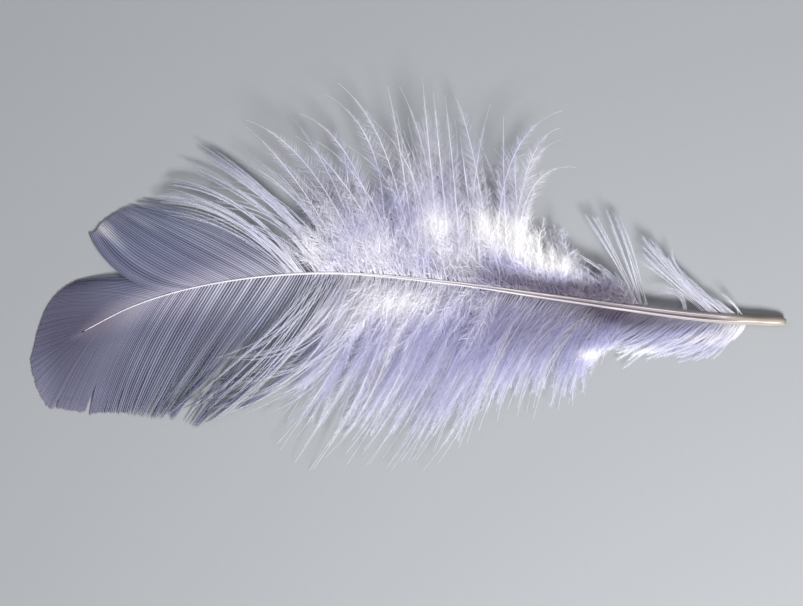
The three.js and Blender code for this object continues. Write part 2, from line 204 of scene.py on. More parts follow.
PAINTED_LIGHT_PATCHES = tuple(
    Patch(*row)
    for row in (
        (43.5, 14.0, 3.2, 3.0, 0.9), (39.8, 11.0, 4.2, 3.6, 1.0), (35.5, 8.2, 4.0, 2.4, 0.9),
        (55.5, 15.5, 3.0, 3.0, 0.9), (48.0, 15.2, 2.6, 2.8, 0.9), (62.0, 12.0, 8.0, 4.0, 0.25),
        (75.5, 11.5, 3.0, 3.0, 0.6), (62.0, 3.5, 8.0, 3.0, 0.7), (71.0, 0.0, 5.0, 3.0, 0.4),
        (31.5, -5.2, 2.0, 0.9, 0.9), (24.0, -4.8, 6.0, 1.1, 0.7), (13.0, -2.6, 7.0, 1.4, 0.7),
        (7.6, -1.0, 3.0, 1.1, 0.8), (36.0, 5.6, 14.0, 2.0, -1.4, -7.8), (40.0, -1.0, 12.0, 4.0, -0.4),
        (25.0, 0.8, 9.0, 2.0, -1.1, -7.8), (93.0, -7.0, 9.0, 8.0, -0.34), (92.0, 16.0, 11.0, 7.0, 0.1, -25.0),
        (116.0, -2.0, 12.5, 17.0, -0.97), (107.0, 1.2, 7.5, 2.4, -0.25, 26.0), (119.0, -10.5, 2.0, 5.0, 0.22),
        (109.2, 15.0, 2.4, 1.8, 0.35), (107.4, 13.4, 4.4, 1.0, 0.45, -40.0),
        (103.2, 16.4, 3.6, 0.7, 0.24, -27.0),
    )
)


def painted_light_tone(points: np.ndarray, quill: np.ndarray) -> np.ndarray:
    """Add up the gains of the patches of painted highlight and painted shade.

    Args:
        points: Places in the frame, in mm.
        quill: The place of the quill's end.

    Returns:
        The tone at each place: 0 is plain, above is painted highlight and below is painted shade.
    """
    tone = np.zeros(len(points))
    for patch in PAINTED_LIGHT_PATCHES:
        ahead = points[:, 0] - quill[0] + patch.station
        right = points[:, 1] - quill[1] - patch.offset
        cos, sin = math.cos(math.radians(patch.turn)), math.sin(math.radians(patch.turn))
        along = (ahead * cos + right * sin) / patch.along
        aside = (right * cos - ahead * sin) / patch.aside
        tone += patch.gain * np.exp(-(along**2) - aside**2)
    return np.clip(tone, -1.0, 1.0)


def smoothstep(value: np.ndarray, low: float, high: float) -> np.ndarray:
    """Ease from 0 where the value is low to 1 where it is high."""
    share = np.clip((value - low) / (high - low), 0.0, 1.0)
    return share * share * (3.0 - 2.0 * share)


def smooth_curve(knots: np.ndarray, values: np.ndarray, place: np.ndarray) -> np.ndarray:
    """Read a smooth curve through values given at the knots.

    Args:
        knots: Where the values are, in rising order.
        values: One value for each knot.
        place: Where to read the curve.

    Returns:
        The curve's values, with slopes that average those of the stretches on both sides.
    """
    slopes = np.diff(values) / np.diff(knots)
    slopes = np.concatenate([slopes[:1], (slopes[1:] + slopes[:-1]) / 2, slopes[-1:]])
    i = np.clip(np.searchsorted(knots, place, side="right") - 1, 0, len(knots) - 2)
    span = knots[i + 1] - knots[i]
    t = (place - knots[i]) / span
    return (
        (2 * t**3 - 3 * t**2 + 1) * values[i]
        + (t**3 - 2 * t**2 + t) * span * slopes[i]
        + (3 * t**2 - 2 * t**3) * values[i + 1]
        + (t**3 - t**2) * span * slopes[i + 1]
    )


def unit(vectors: np.ndarray) -> np.ndarray:
    """Return the vectors at length 1."""
    return vectors / np.maximum(np.linalg.norm(vectors, axis=-1, keepdims=True), 1e-9)


@dataclass(frozen=True)
class ShaftLine:
    """The curve that the barbs grow from, with the shaft's radius along it."""

    stations: tuple[float, ...] = (0, 14, 36, 55, 74, 92, 104, 112, 122)
    offsets: tuple[float, ...] = (0, 0.9, 3.8, 6.4, 7.8, 6.0, 2.6, -1.4, -7.0)
    heights: tuple[float, ...] = (1.0, 2.1, 3.4, 4.0, 3.8, 2.7, 1.6, 0.9, 0.4)
    radius_stations: tuple[float, ...] = (0, 0.5, 1.6, 3.2, 5.2, 8, 20, 36, 46, 60, 80, 100, 112, 122)
    radii: tuple[float, ...] = (
        0.5, 0.74, 0.8, 0.86, 0.74, 0.8, 0.68, 0.52, 0.38, 0.26, 0.18, 0.11, 0.07, 0.04,
    )
    end: float = 112.0  # the station where the shaft itself ends
    samples: int = 400  # places at which the outline is measured
    root_out: float = 0.75  # share of the radius between the middle and the barbs' roots

    def _smooth(self, values: tuple[float, ...], station: np.ndarray) -> np.ndarray:
        """Read a smooth curve through values given at the line's stations."""
        return smooth_curve(np.array(self.stations, dtype=float), np.array(values, dtype=float), station)

    def radius(self, station: np.ndarray) -> np.ndarray:
        """Return the shaft's radius at the stations."""
        return np.interp(station, self.radius_stations, self.radii)

    def sideways(self, station: np.ndarray) -> np.ndarray:
        """Work out the level direction towards the right side.

        Args:
            station: The stations.

        Returns:
            The directions there.
        """
        ahead = self._smooth(self.offsets, station + 0.5)
        behind = self._smooth(self.offsets, station - 0.5)
        return unit(np.stack([ahead - behind, np.ones_like(ahead), np.zeros_like(ahead)], axis=-1))

    def _unplaced_centre(self, station: np.ndarray) -> np.ndarray:
        """Return the centre line with the quill's end at the origin."""
        offset = self._smooth(self.offsets, station)
        return np.stack([-station, offset, self._smooth(self.heights, station)], axis=-1)

    def centre(self, station: np.ndarray) -> np.ndarray:
        """Work out the centre line, placed by the shaft's solid in the frame.

        Args:
            station: The stations.

        Returns:
            The places there.
        """
        high = np.array(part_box("shaft")[1]) / MM
        sampled = np.linspace(0.0, self.end, self.samples)
        outline = self._unplaced_centre(sampled)[:, 1] + self.radius(sampled)
        return self._unplaced_centre(station) + np.array([high[0], high[1] - outline.max(), 0.0])

    def quill(self) -> np.ndarray:
        """Return the place of the quill's end."""
        return self.centre(np.array([0.0]))[0]

    def roots(self, side: Side, station: np.ndarray) -> np.ndarray:
        """Return the places on one side of the shaft where barbs grow at the stations."""
        out = side.value * self.root_out * self.radius(station)[:, None]
        return self.centre(station) + out * self.sideways(station)


@dataclass
class Strands:
    """Barbs as arrays, with a row for each barb and a column for each step from root to tip."""

    points: np.ndarray
    share: np.ndarray  # how far along the barbs the steps are, from 0 to 1
    length: np.ndarray
    pick: np.ndarray  # a random number for each barb, which varies its colour
    tangents: np.ndarray = field(init=False)
    across: np.ndarray = field(init=False)
    normals: np.ndarray = field(init=False)

    def __post_init__(self) -> None:
        """Work out the directions along, across and square to each barb."""
        self.tangents = unit(np.gradient(self.points, axis=1))
        self.across = unit(np.cross([0.0, 0.0, 1.0], self.tangents))
        self.normals = np.cross(self.tangents, self.across)

    def sample(self, owner: np.ndarray, share: np.ndarray) -> tuple[np.ndarray, ...]:
        """Read barbs between their steps.

        Args:
            owner: The row of the barb that each sample is on.
            share: How far along its barb each sample is, from 0 to 1.

        Returns:
            The places, and the directions along, across and square to the barbs there.
        """
        step = share * (len(self.share) - 1)
        i = np.clip(step.astype(int), 0, len(self.share) - 2)
        t = (step - i)[:, None]
        place = self.points[owner, i] * (1 - t) + self.points[owner, i + 1] * t
        return place, self.tangents[owner, i], self.across[owner, i], self.normals[owner, i]


@dataclass(frozen=True)
class Growth:
    """How the barbs of one bed grow between its guides, and how much they differ."""

    side: Side
    guides: GuideRows
    count: int
    seed: int
    reach: Pair = (1.0, 1.0)  # length as a share of the guides'
    lean_scatter: float = 0.0
    curl_scatter: float = 0.0
    tip_height: Pair = (0.1, 0.4)
    arch: Pair = (0.0, 0.0)  # mm above the straight line, in the middle
    sway: float = 0.0  # sideways waves, as a share of the length
    clump: int = 1  # barbs whose tips draw together
    pull: float = 0.0  # how far they do, from 0 to 1
    pull_rise: float = 1.3  # the higher, the nearer to the tips they do
    pull_variety: Pair = (0.7, 1.0)
    crowd: float = 0.0  # how many more barbs the feather's tip has, as a share
    steps: int = 18  # points along a barb
    untidy: float = 0.3  # scatter of the roots in a bed that isn't a sheet, as a share of their spacing
    root_drop: float = 0.1  # share of the shaft's radius that the roots lie below its middle
    spacing_shares: Pair = (0.2, 0.85)  # shares of the length between which barbs are evenly apart
    trials: int = 300  # stations tried for that
    waves: tuple[Pair, ...] = ((0.8, 1.0), (1.9, 0.4))  # how many each barb has, and their weight
    bob: float = 0.5  # waves up and down, as a share of those sideways

    def _read(self, station: np.ndarray) -> list[np.ndarray]:
        """Return the length, lean and curl that the guides give at the stations."""
        rows = np.array(sorted(self.guides), dtype=float)
        return [smooth_curve(rows[:, 0], rows[:, k], station) for k in (1, 2, 3)]

    def grow(self, shaft: ShaftLine) -> Strands:
        """Grow the bed's barbs.

        Args:
            shaft: The line that they grow from.

        Returns:
            The barbs as strands.
        """
        rng = np.random.default_rng(self.seed)
        first, last = min(self.guides)[0], max(self.guides)[0]
        untidy = self.untidy * (last - first) / max(self.count - 1, 1) if self.lean_scatter else 0.0
        station = np.clip(self.stations(shaft) + rng.normal(0, 1, self.count) * untidy, first, last)
        length, lean, curl = self._read(station)
        length = length * rng.uniform(*self.reach, self.count)
        lean = lean + rng.normal(0, 1, self.count) * self.lean_scatter
        curl = curl + rng.normal(0, 1, self.count) * self.curl_scatter
        tip = rng.uniform(*self.tip_height, self.count)
        arch = rng.uniform(*self.arch, self.count)
        barbs = np.stack([station, length, lean, curl, tip, arch])
        share = np.linspace(0.0, 1.0, self.steps)
        own = self._arcs(shaft, barbs, share[None, :])
        if self.clump > 1:
            leader = np.arange(self.count) // self.clump * self.clump + self.clump // 2
            leader = np.minimum(leader, self.count - 1)
            reached = np.minimum(share[None, :] * (length / length[leader])[:, None], 1.0)
            led = self._arcs(shaft, barbs[:, leader], reached)
            strength = self.pull * rng.uniform(*self.pull_variety, (self.count, 1)) * share ** self.pull_rise
            own = own + strength[..., None] * (led - own)
        own = own + self._waves(rng, length, lean, share)
        own[..., 2] = np.maximum(own[..., 2], CLEARANCE)
        return Strands(own, share, length, rng.random(self.count))

    def stations(self, shaft: ShaftLine) -> np.ndarray:
        """Space the roots so that the barbs are evenly apart half-way along.

        Args:
            shaft: The line that they grow from.

        Returns:
            The roots' stations, from the quill outwards.
        """
        trial = np.linspace(min(self.guides)[0], max(self.guides)[0], self.trials)
        level = np.zeros_like(trial)
        barbs = np.stack([trial, *self._read(trial), level, level])
        ends = self._arcs(shaft, barbs, np.array([self.spacing_shares]))
        steps = np.linalg.norm(np.diff(ends, axis=0), axis=-1).mean(axis=1)
        steps *= 1 + self.crowd * smoothstep(trial[1:], *CROWD_ZONE)
        run = np.concatenate([[0.0], np.cumsum(steps)])
        return np.interp(np.linspace(0.0, run[-1], self.count), run, trial)

    def _arcs(self, shaft: ShaftLine, barbs: np.ndarray, share: np.ndarray) -> np.ndarray:
        """Lay out barbs as arcs that leave the shaft's side.

        Args:
            shaft: The line that they grow from.
            barbs: Rows of the barbs' stations, lengths, leans, curls, tip heights and arches.
            share: The shares of the length to lay out, in a row for each barb or one for all.

        Returns:
            The points, by barb, step and axis.
        """
        station, length, lean, curl, tip, arch = barbs
        side = self.side.value
        root = shaft.roots(self.side, station)
        root[:, 2] -= self.root_drop * shaft.radius(station)
        turn = np.radians(np.where(np.abs(curl) < LEAST_CURL, LEAST_CURL, curl))[:, None]
        start = np.radians(lean)[:, None] - turn / 2
        angle = start + turn * share
        reach = length[:, None] / turn
        forward = reach * (np.sin(angle) - np.sin(start))
        outward = reach * (np.cos(start) - np.cos(angle))
        climb = (tip - root[:, 2])[:, None] * share + arch[:, None] * 4 * share * (1 - share)
        level = [root[:, :1] - forward, root[:, 1:2] + side * outward]
        return np.stack([*level, root[:, 2:] + climb], axis=-1)

    def _waves(
        self, rng: np.random.Generator, length: np.ndarray, lean: np.ndarray, share: np.ndarray
    ) -> np.ndarray:
        """Work out how barbs wave from side to side and up and down.

        Args:
            rng: The bed's random numbers.
            length: The barbs' lengths.
            lean: The barbs' leans.
            share: The steps' shares of the length.

        Returns:
            The offsets, by barb, step and axis.
        """
        angle = np.radians(lean)
        level = np.stack([np.sin(angle), self.side.value * np.cos(angle), 0 * angle], axis=-1)
        wave = np.zeros((len(length), len(share)))
        lift = np.zeros_like(wave)
        for count, weight in self.waves:
            phase = rng.random((2, len(length), 1))
            wave += weight * np.sin(math.tau * (count * share[None, :] + phase[0]))
            lift += weight * np.sin(math.tau * (count * share[None, :] + phase[1]))
        size = (self.sway * length)[:, None] * share[None, :]
        offset = level[:, None, :] * (wave * size)[..., None]
        offset[..., 2] += self.bob * lift * size
        return offset


@dataclass(frozen=True)
class Traced:
    """Single barbs through places read in the photo, each copied into a small bundle."""

    side: Side
    rows: TracedRows
    seed: int
    copies: int = 1
    spread: float = 0.2  # mm between the copies at their tips
    slip: float = 0.2  # mm between the copies at their roots
    reach: Pair = (1.0, 1.0)
    tip_height: Pair = (0.1, 0.4)
    arch: Pair = (0.0, 0.0)
    steps: int = 20
    middle_spread: float = 0.6  # share of the copies' spread that they have in the middle
    tip_scatter: float = 0.4  # scatter of single tips, as a share of the spread

    def grow(self, shaft: ShaftLine) -> Strands:
        """Grow the bundles.

        Args:
            shaft: The line that they grow from.

        Returns:
            The barbs as strands.
        """
        rng = np.random.default_rng(self.seed)
        rows = np.repeat(np.array(self.rows, dtype=float), self.copies, axis=0)
        count = len(rows)
        station = (QUILL_PIXEL[0] - rows[:, 0]) * PIXEL + rng.normal(0, self.slip, count)
        root = shaft.roots(self.side, station)
        quill = shaft.quill()[:2]
        apart = rng.normal(0, self.spread, (count, 2))
        middle, tip = (quill + (rows[:, k : k + 2] - QUILL_PIXEL) * (PIXEL, -PIXEL) for k in (1, 3))
        middle = middle + self.middle_spread * apart
        tip = tip + apart + rng.normal(0, self.tip_scatter * self.spread, (count, 2))
        bend = 2 * middle - 0.5 * (root[:, :2] + tip)
        share = np.linspace(0.0, 1.0, self.steps)
        t = (share[None, :] * rng.uniform(*self.reach, (count, 1)))[..., None]
        level = (1 - t) ** 2 * root[:, None, :2] + 2 * t * (1 - t) * bend[:, None] + t**2 * tip[:, None]
        rise = rng.uniform(*self.tip_height, count) - root[:, 2]
        arch = rng.uniform(*self.arch, count)
        up = root[:, None, 2] + rise[:, None] * t[..., 0] + (arch[:, None, None] * 4 * t * (1 - t))[..., 0]
        points = np.concatenate([level, np.maximum(up, CLEARANCE)[..., None]], axis=-1)
        length = np.linalg.norm(np.diff(points, axis=1), axis=-1).sum(axis=1)
        return Strands(points, share, length, rng.random(count))


@dataclass(frozen=True)
class Barbules:
    """The fine hairs along a barb's two sides."""

    spacing: float  # mm between two hairs on one side
    lengths: tuple[Pair, ...]  # shares of the barb, and how long the hairs are there, in mm
    width: float = 0.05
    root_angle: float = 52.0  # from the barb's direction, where the hair leaves it
    tip_angle: float = 22.0  # the same at the hair's tip
    tilt: float = 35.0  # scatter out of the barb's plane
    frizz: float = 0.1  # sideways scatter, as a share of the hair's length
    swing: float = 7.0  # scatter of the angle to the barb
    stray_width: float = 0.9  # how much wider than the width the thickest bundles of hairs are
    segments: int = 2
    length_variety: Pair = (0.6, 1.2)
    width_variety: Pair = (0.6, 1.0)
    facing_scatter: float = 0.45  # how far a strip turns from facing up
    rarity: int = 9  # the higher, the fewer thick bundles
    last: float = 0.999  # share of the barb past which no hair stands

    def grow(self, strands: Strands, seed: int) -> tuple[np.ndarray, ...]:
        """Grow hairs along the strands.

        Args:
            strands: The barbs that carry them.
            seed: The seed of their random numbers.

        Returns:
            The hairs' points by hair, step and axis, their half width vectors, a random number
            for each and how far along its barb it stands.
        """
        rng = np.random.default_rng(seed)
        knots, lengths = np.array(self.lengths).T
        pairs = np.maximum((strands.length * (knots[-1] - knots[0]) / self.spacing).astype(int), 1)
        owner = np.repeat(np.arange(len(pairs)), pairs * 2)
        count = len(owner)
        rank = np.arange(count) - np.repeat(np.cumsum(pairs * 2) - pairs * 2, pairs * 2)
        hand = np.where(rank % 2, 1.0, -1.0)[:, None]
        share = (rank // 2 + rng.random(count)) / pairs[owner]
        share = np.clip(knots[0] + (knots[-1] - knots[0]) * share, 0.0, self.last)
        place, along, across, square = strands.sample(owner, share)
        tilt = np.radians(rng.normal(0, self.tilt, (count, 1)))
        outwards = np.cos(tilt) * hand * across + np.sin(tilt) * square
        length = (np.interp(share, knots, lengths) * rng.uniform(*self.length_variety, count))[:, None]
        swing = rng.normal(0, self.swing, (count, 1))
        points = [place]
        for step in range(self.segments):
            part = (step + 0.5) / self.segments
            angle = np.radians(self.root_angle + (self.tip_angle - self.root_angle) * part + swing)
            heading = np.cos(angle) * along + np.sin(angle) * outwards
            heading = unit(heading + rng.normal(0, self.frizz, heading.shape))
            points.append(points[-1] + heading * length / self.segments)
        path = np.stack(points, axis=1)
        path[..., 2] = np.maximum(path[..., 2], CLEARANCE)
        facing = np.array([0.0, 0.0, 1.0]) + rng.normal(0, self.facing_scatter, (count, 3))
        thick = rng.random((count, 1)) ** self.rarity
        width = self.width * (rng.uniform(*self.width_variety, thick.shape) + self.stray_width * thick)
        half = unit(np.cross(path[:, -1] - path[:, 0], facing)) * width / 2
        return path, half, rng.random(count) * (1 - thick[:, 0]), share


@dataclass
class FibreMesh:
    """A joined mesh of many strips and rods, made from arrays."""

    quill: np.ndarray  # the place of the quill's end
    rod_corners: tuple[float, ...] = (-30.0, 90.0, 210.0)  # around the rod
    rod_places: tuple[float, ...] = (-0.3, 0.0, 0.3, 0.0)  # its columns as places across a strip
    rod_pick: float = 0.4  # share of the barbs' colour variety that rods have
    hair_taper: float = 0.35  # share of its width that a hair loses before its last segment
    _points: list[np.ndarray] = field(default_factory=list)
    _faces: list[np.ndarray] = field(default_factory=list)
    _share: list[np.ndarray] = field(default_factory=list)
    _pick: list[np.ndarray] = field(default_factory=list)
    _flat: list[np.ndarray] = field(default_factory=list)

    def _add(
        self,
        points: np.ndarray,
        faces: list[np.ndarray],
        share: np.ndarray,
        pick: np.ndarray,
        flat: np.ndarray,
    ) -> None:
        """Add points and the faces between them.

        Args:
            points: The points, in mm.
            faces: Tables of faces with three or four point numbers, which start from 0 in these points.
            share: How far from its barb's root each point is.
            pick: The random number of each point's barb.
            flat: Each point's place along its strip, and across it from -1 to 1.
        """
        earlier = sum(len(rows) for rows in self._points)
        self._faces += [rows + earlier for rows in faces]
        self._points.append(points)
        self._share.append(share)
        self._pick.append(pick)
        self._flat.append(flat)

    def add_sheet(self, columns: np.ndarray, share: np.ndarray, pick: np.ndarray, across: np.ndarray) -> None:
        """Add one strip with several columns of points for each barb.

        Args:
            columns: Points by barb, column, step and axis, with columns from the left to the right.
            share: The steps' shares of the barb.
            pick: The barbs' random numbers.
            across: Each column's place across its strip, from -1 to 1, for all barbs or for each.
        """
        barbs, wide, long = columns.shape[:3]
        number = np.arange(barbs * wide * long).reshape(barbs, wide, long)
        corners = (number[:, :-1, :-1], number[:, 1:, :-1], number[:, 1:, 1:], number[:, :-1, 1:])
        faces = np.stack([c.ravel() for c in corners], axis=-1)
        shares = np.broadcast_to(share, (barbs, wide, long)).ravel()
        steps = np.linalg.norm(np.diff(columns[:, wide // 2], axis=1), axis=-1)
        run = np.concatenate([np.zeros((barbs, 1)), np.cumsum(steps, axis=1)], axis=1)
        run = np.broadcast_to(run[:, None, :], (barbs, wide, long))
        flat = np.stack([run.ravel(), np.broadcast_to(across, (barbs, wide, long)).ravel()], axis=-1)
        self._add(columns.reshape(-1, 3), [faces], shares, np.repeat(pick, wide * long), flat)

    def add_rods(self, strands: Strands, radius: np.ndarray) -> None:
        """Add a thin three-sided rod along each strand.

        Args:
            strands: The barbs.
            radius: The rods' radius, by barb and step.
        """
        spokes = []
        for turn in np.radians(self.rod_corners):
            spoke = math.cos(turn) * strands.across + math.sin(turn) * strands.normals
            spokes.append(strands.points + spoke * radius[..., None])
        ring = np.stack([*spokes, spokes[0]], axis=1)
        places = np.array(self.rod_places)[:, None]
        self.add_sheet(ring[:, ::-1], strands.share, self.rod_pick * strands.pick, places)

    def add_hairs(self, strands: Strands, barbules: Barbules, seed: int) -> None:
        """Add the hairs of the strands as narrow strips that end in points.

        Args:
            strands: The barbs that carry them.
            barbules: What the hairs are like.
            seed: The seed of their random numbers.
        """
        path, half, pick, share = barbules.grow(strands, seed)
        hairs, steps = path.shape[:2]
        wide = steps * 2 - 1
        points = np.empty((hairs, wide, 3))
        for step in range(steps - 1):
            swell = 1.0 - self.hair_taper * step / max(steps - 2, 1)
            points[:, 2 * step] = path[:, step] - half * swell
            points[:, 2 * step + 1] = path[:, step] + half * swell
        points[:, -1] = path[:, -1]
        first = np.arange(hairs)[:, None] * wide
        corners = [(2 * k, 2 * k + 1, 2 * k + 3, 2 * k + 2) for k in range(steps - 2)]
        flip = (np.cross(half, path[:, -1] - path[:, 0])[:, 2] < 0)[:, None]
        orders = [np.array(corner)[None, :] for corner in (*corners, (wide - 3, wide - 2, wide - 1))]
        faces = [first + np.where(flip, order[:, ::-1], order) for order in orders]
        run = np.repeat(np.arange(wide)[None, :] // 2, hairs, axis=0) / steps
        flat = np.stack([run.ravel(), np.zeros(hairs * wide)], axis=-1)
        self._add(points.reshape(-1, 3), faces, np.repeat(share, wide), np.repeat(pick, wide), flat)

    def build(self, name: str) -> bpy.types.Object:
        """Make the object.

        Args:
            name: The piece's name.

        Returns:
            The object, at the origin with its place in its mesh.
        """
        points = np.concatenate(self._points)
        # the patches' painted highlight and painted shade, kept in the tone attribute
        tone = painted_light_tone(points, self.quill)
        loops = np.concatenate([faces.ravel() for faces in self._faces]).astype(np.int32)
        sizes = np.concatenate([np.full(len(faces), faces.shape[1]) for faces in self._faces])
        starts = np.concatenate([[0], np.cumsum(sizes)[:-1]]).astype(np.int32)
        mesh = bpy.data.meshes.new(name)
        mesh.vertices.add(len(points))
        mesh.vertices.foreach_set("co", (points * MM).astype(np.float32).ravel())
        mesh.loops.add(len(loops))
        mesh.loops.foreach_set("vertex_index", loops)
        mesh.polygons.add(len(starts))
        mesh.polygons.foreach_set("loop_start", starts)
        for label, values in (("share", self._share), ("pick", self._pick), ("tone", [tone])):
            layer = mesh.attributes.new(label, "FLOAT", "POINT")
            layer.data.foreach_set("value", np.concatenate(values).astype(np.float32))
        flat = np.concatenate(self._flat).astype(np.float32)
        mesh.uv_layers.new(name="UVMap").uv.foreach_set("vector", flat[loops].ravel())
        mesh.update(calc_edges=True)
        mesh.polygons.foreach_set("use_smooth", np.ones(len(starts), dtype=bool))
        piece = bpy.data.objects.new(name, mesh)
        bpy.context.scene.collection.objects.link(piece)
        return piece


class Part:
    """A part of the feather, with the node that it stands for and the slot of its finish."""

    name: str
    node: str
    slot: Slot

    def dress(self, piece: bpy.types.Object, material: bpy.types.Material) -> None:
        """Give the built piece its finish and its place in the frame.

        Args:
            piece: The piece.
            material: Its finish.
        """
        piece.data.materials.clear()
        piece.data.materials.append(material)
        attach(piece, BODY)
        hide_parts(self.node)


# Shader nodes

Tree = bpy.types.NodeTree
Socket = bpy.types.NodeSocket
Source = Socket | float | tuple[float, ...]  # what feeds a socket: another one, or a value of its own


def feed(socket: Socket, source: Source) -> None:
    """Link a socket to its source, or set it to a value.

    Args:
        socket: The input socket.
        source: The output socket that it is linked to, a number, or a colour or vector.
    """
    if isinstance(source, Socket):
        socket.id_data.links.new(source, socket)
    elif socket.type == "RGBA":
        socket.default_value = (*source, 1.0)
    else:
        socket.default_value = source


def add_node(tree: Tree, kind: str, inputs: dict[int | str, Source], **settings: object) -> bpy.types.Node:
    """Add a shader node.

    Args:
        tree: The node tree.
        kind: The node's type, without the words that all of them start with.
        inputs: Its inputs' names or numbers, and what feeds them.
        settings: Its properties.

    Returns:
        The node.
    """
    node = tree.nodes.new(f"ShaderNode{kind}")
    for name, value in settings.items():
        setattr(node, name, value)
    for name, source in inputs.items():
        feed(node.inputs[name], source)
    return node


def attribute(tree: Tree, name: str) -> Socket:
    """Read a mesh attribute of this name."""
    return add_node(tree, "Attribute", {}, attribute_name=name).outputs["Fac"]


def calculate(tree: Tree, operation: str, first: Source, second: Source = 0.5) -> Socket:
    """Add a Math node and return its result."""
    return add_node(tree, "Math", {0: first, 1: second}, operation=operation).outputs[0]


def mix(tree: Tree, share: Source, first: Source, second: Source, blend: str = "MIX") -> Socket:
    """Blend the second colour into the first by this share, and return the mixed colour."""
    colours = {0: share, 6: first, 7: second}  # the node's other inputs mix numbers and vectors
    return add_node(tree, "Mix", colours, data_type="RGBA", blend_type=blend).outputs[2]


def ramp(
    tree: Tree, value: Source, low: Source, high: Source, results: Pair = (0.0, 1.0), kind: str = "SMOOTHSTEP"
) -> Socket:
    """Map a value between low and high to a value between the two results, and return that."""
    inputs = {0: value, 1: low, 2: high, 3: results[0], 4: results[1]}
    return add_node(tree, "MapRange", inputs, interpolation_type=kind).outputs[0]


def feed_all(shader: bpy.types.Node, inputs: dict[str, Source]) -> None:
    """Feed a shader's inputs by name."""
    for name, source in inputs.items():
        feed(shader.inputs[name], source)


def new_material(name: str) -> tuple[bpy.types.Material, bpy.types.Node, bpy.types.Node]:
    """Start a material with a Principled shader.

    Args:
        name: The material's name.

    Returns:
        The material, its shader node and its output node.
    """
    material = bpy.data.materials.new(name)
    material.use_nodes = True
    nodes = material.node_tree.nodes
    return material, nodes["Principled BSDF"], nodes["Material Output"]


def open_group(name: str, inputs: dict[str, float | Colour]) -> tuple[Tree, bpy.types.bpy_prop_collection]:
    """Start a shader node group.

    Args:
        name: The group's name.
        inputs: Each input's name and its default, whose type sets the socket's type.

    Returns:
        The group, and the sockets that its inputs are read from.
    """
    group = bpy.data.node_groups.new(name, "ShaderNodeTree")
    for label, default in inputs.items():
        kind = "NodeSocketFloat" if isinstance(default, float) else "NodeSocketColor"
        socket = group.interface.new_socket(name=label, in_out="INPUT", socket_type=kind)
        socket.default_value = default if isinstance(default, float) else (*default, 1.0)
    return group, group.nodes.new("NodeGroupInput").outputs


def close_group(group: Tree, outputs: dict[str, Socket]) -> Tree:
    """Give a group its outputs.

    Args:
        group: The group.
        outputs: Each output's name and what feeds it.

    Returns:
        The group.
    """
    end = group.nodes.new("NodeGroupOutput")
    for label, source in outputs.items():
        kind = "NodeSocketColor" if source.type == "RGBA" else "NodeSocketFloat"
        group.interface.new_socket(name=label, in_out="OUTPUT", socket_type=kind)
        feed(end.inputs[label], source)
    return group


# Finishes

PAINTED_HIGHLIGHT: Colour = (1.0, 0.99, 1.0)  # painted highlight: the colour that the light patches blend towards
DIM: Colour = (0.36, 0.36, 0.48)  # multiplies the colour of the dimmest barbs
PAINTED_SHADE: Colour = (0.3, 0.265, 0.31)  # painted shade: multiplies the colour where the dark patches are strongest
CLOUD_DETAIL = 3.0
CLOUD_RANGE: Pair = (0.35, 0.7)  # values of the noise between which a tinted patch sets in
VALLEY_SHADE_RANGE: Pair = (0.45, 1.0)  # places across a barb between which painted shade darkens its sides


def fibre_tone_group() -> Tree:
    """Build the group that colours a barb from root to tip, with variety between barbs and the patches'
    painted highlight and shade.

    Returns:
        The group. It reads the share, pick and tone attributes and the object's coordinates.
    """
    group, inside = open_group(
        "Fibre tone",
        {
            "Root": (0.5, 0.5, 0.5),
            "Body": (0.8, 0.8, 0.8),
            "Tip": (0.9, 0.9, 0.9),
            "Tint": (0.8, 0.7, 0.8),
            "Root End": 0.2,
            "Tip Start": 0.8,
            "Variety": 0.15,
            "Patches": 0.3,
            "Patch Scale": 60.0,
        },
    )
    share, pick, tone = (attribute(group, name) for name in ("share", "pick", "tone"))
    low = mix(group, ramp(group, share, 0.0, inside["Root End"]), inside["Root"], inside["Body"])
    high = mix(group, ramp(group, share, inside["Tip Start"], 1.0), low, inside["Tip"])
    place = add_node(group, "TexCoord", {}).outputs["Object"]
    cloud = {"Vector": place, "Scale": inside["Patch Scale"], "Detail": CLOUD_DETAIL}
    patch = ramp(group, add_node(group, "TexNoise", cloud).outputs["Fac"], *CLOUD_RANGE)
    strength = calculate(group, "MULTIPLY", patch, inside["Patches"])
    tinted = mix(group, strength, high, inside["Tint"], "MULTIPLY")
    shade = calculate(group, "MULTIPLY", pick, inside["Variety"])
    varied = mix(group, shade, tinted, DIM, "MULTIPLY")
    # painted highlight where the tone is above 0, and painted shade where it is below
    light = mix(group, ramp(group, tone, 0.0, 1.0, kind="LINEAR"), varied, PAINTED_HIGHLIGHT)
    dark = mix(group, ramp(group, tone, 0.0, -1.0, kind="LINEAR"), light, PAINTED_SHADE, "MULTIPLY")
    return close_group(group, {"Color": dark, "Patch": patch})


def striation_group() -> Tree:
    """Build the group of fine slanting lines that a vane's hooked barbules make on each barb, and of the
    painted shade along each barb's sides.

    Returns:
        The group. It reads the UV map: mm along a barb, and -1 to 1 across it.
    """
    group, inside = open_group("Barbule lines", {"Lines per mm": 14.0, "Slant": 0.3})
    flat = add_node(group, "TexCoord", {}).outputs["UV"]
    parts = add_node(group, "SeparateXYZ", {0: flat}).outputs
    wide = calculate(group, "ABSOLUTE", parts["Y"])
    slanted = calculate(group, "MULTIPLY", wide, inside["Slant"])
    along = calculate(group, "SUBTRACT", parts["X"], slanted)
    scaled = calculate(group, "MULTIPLY", along, inside["Lines per mm"])
    folded = calculate(group, "PINGPONG", scaled, 0.5)
    return close_group(group, {"Height": folded, "Valley Shade": ramp(group, wide, *VALLEY_SHADE_RANGE)})


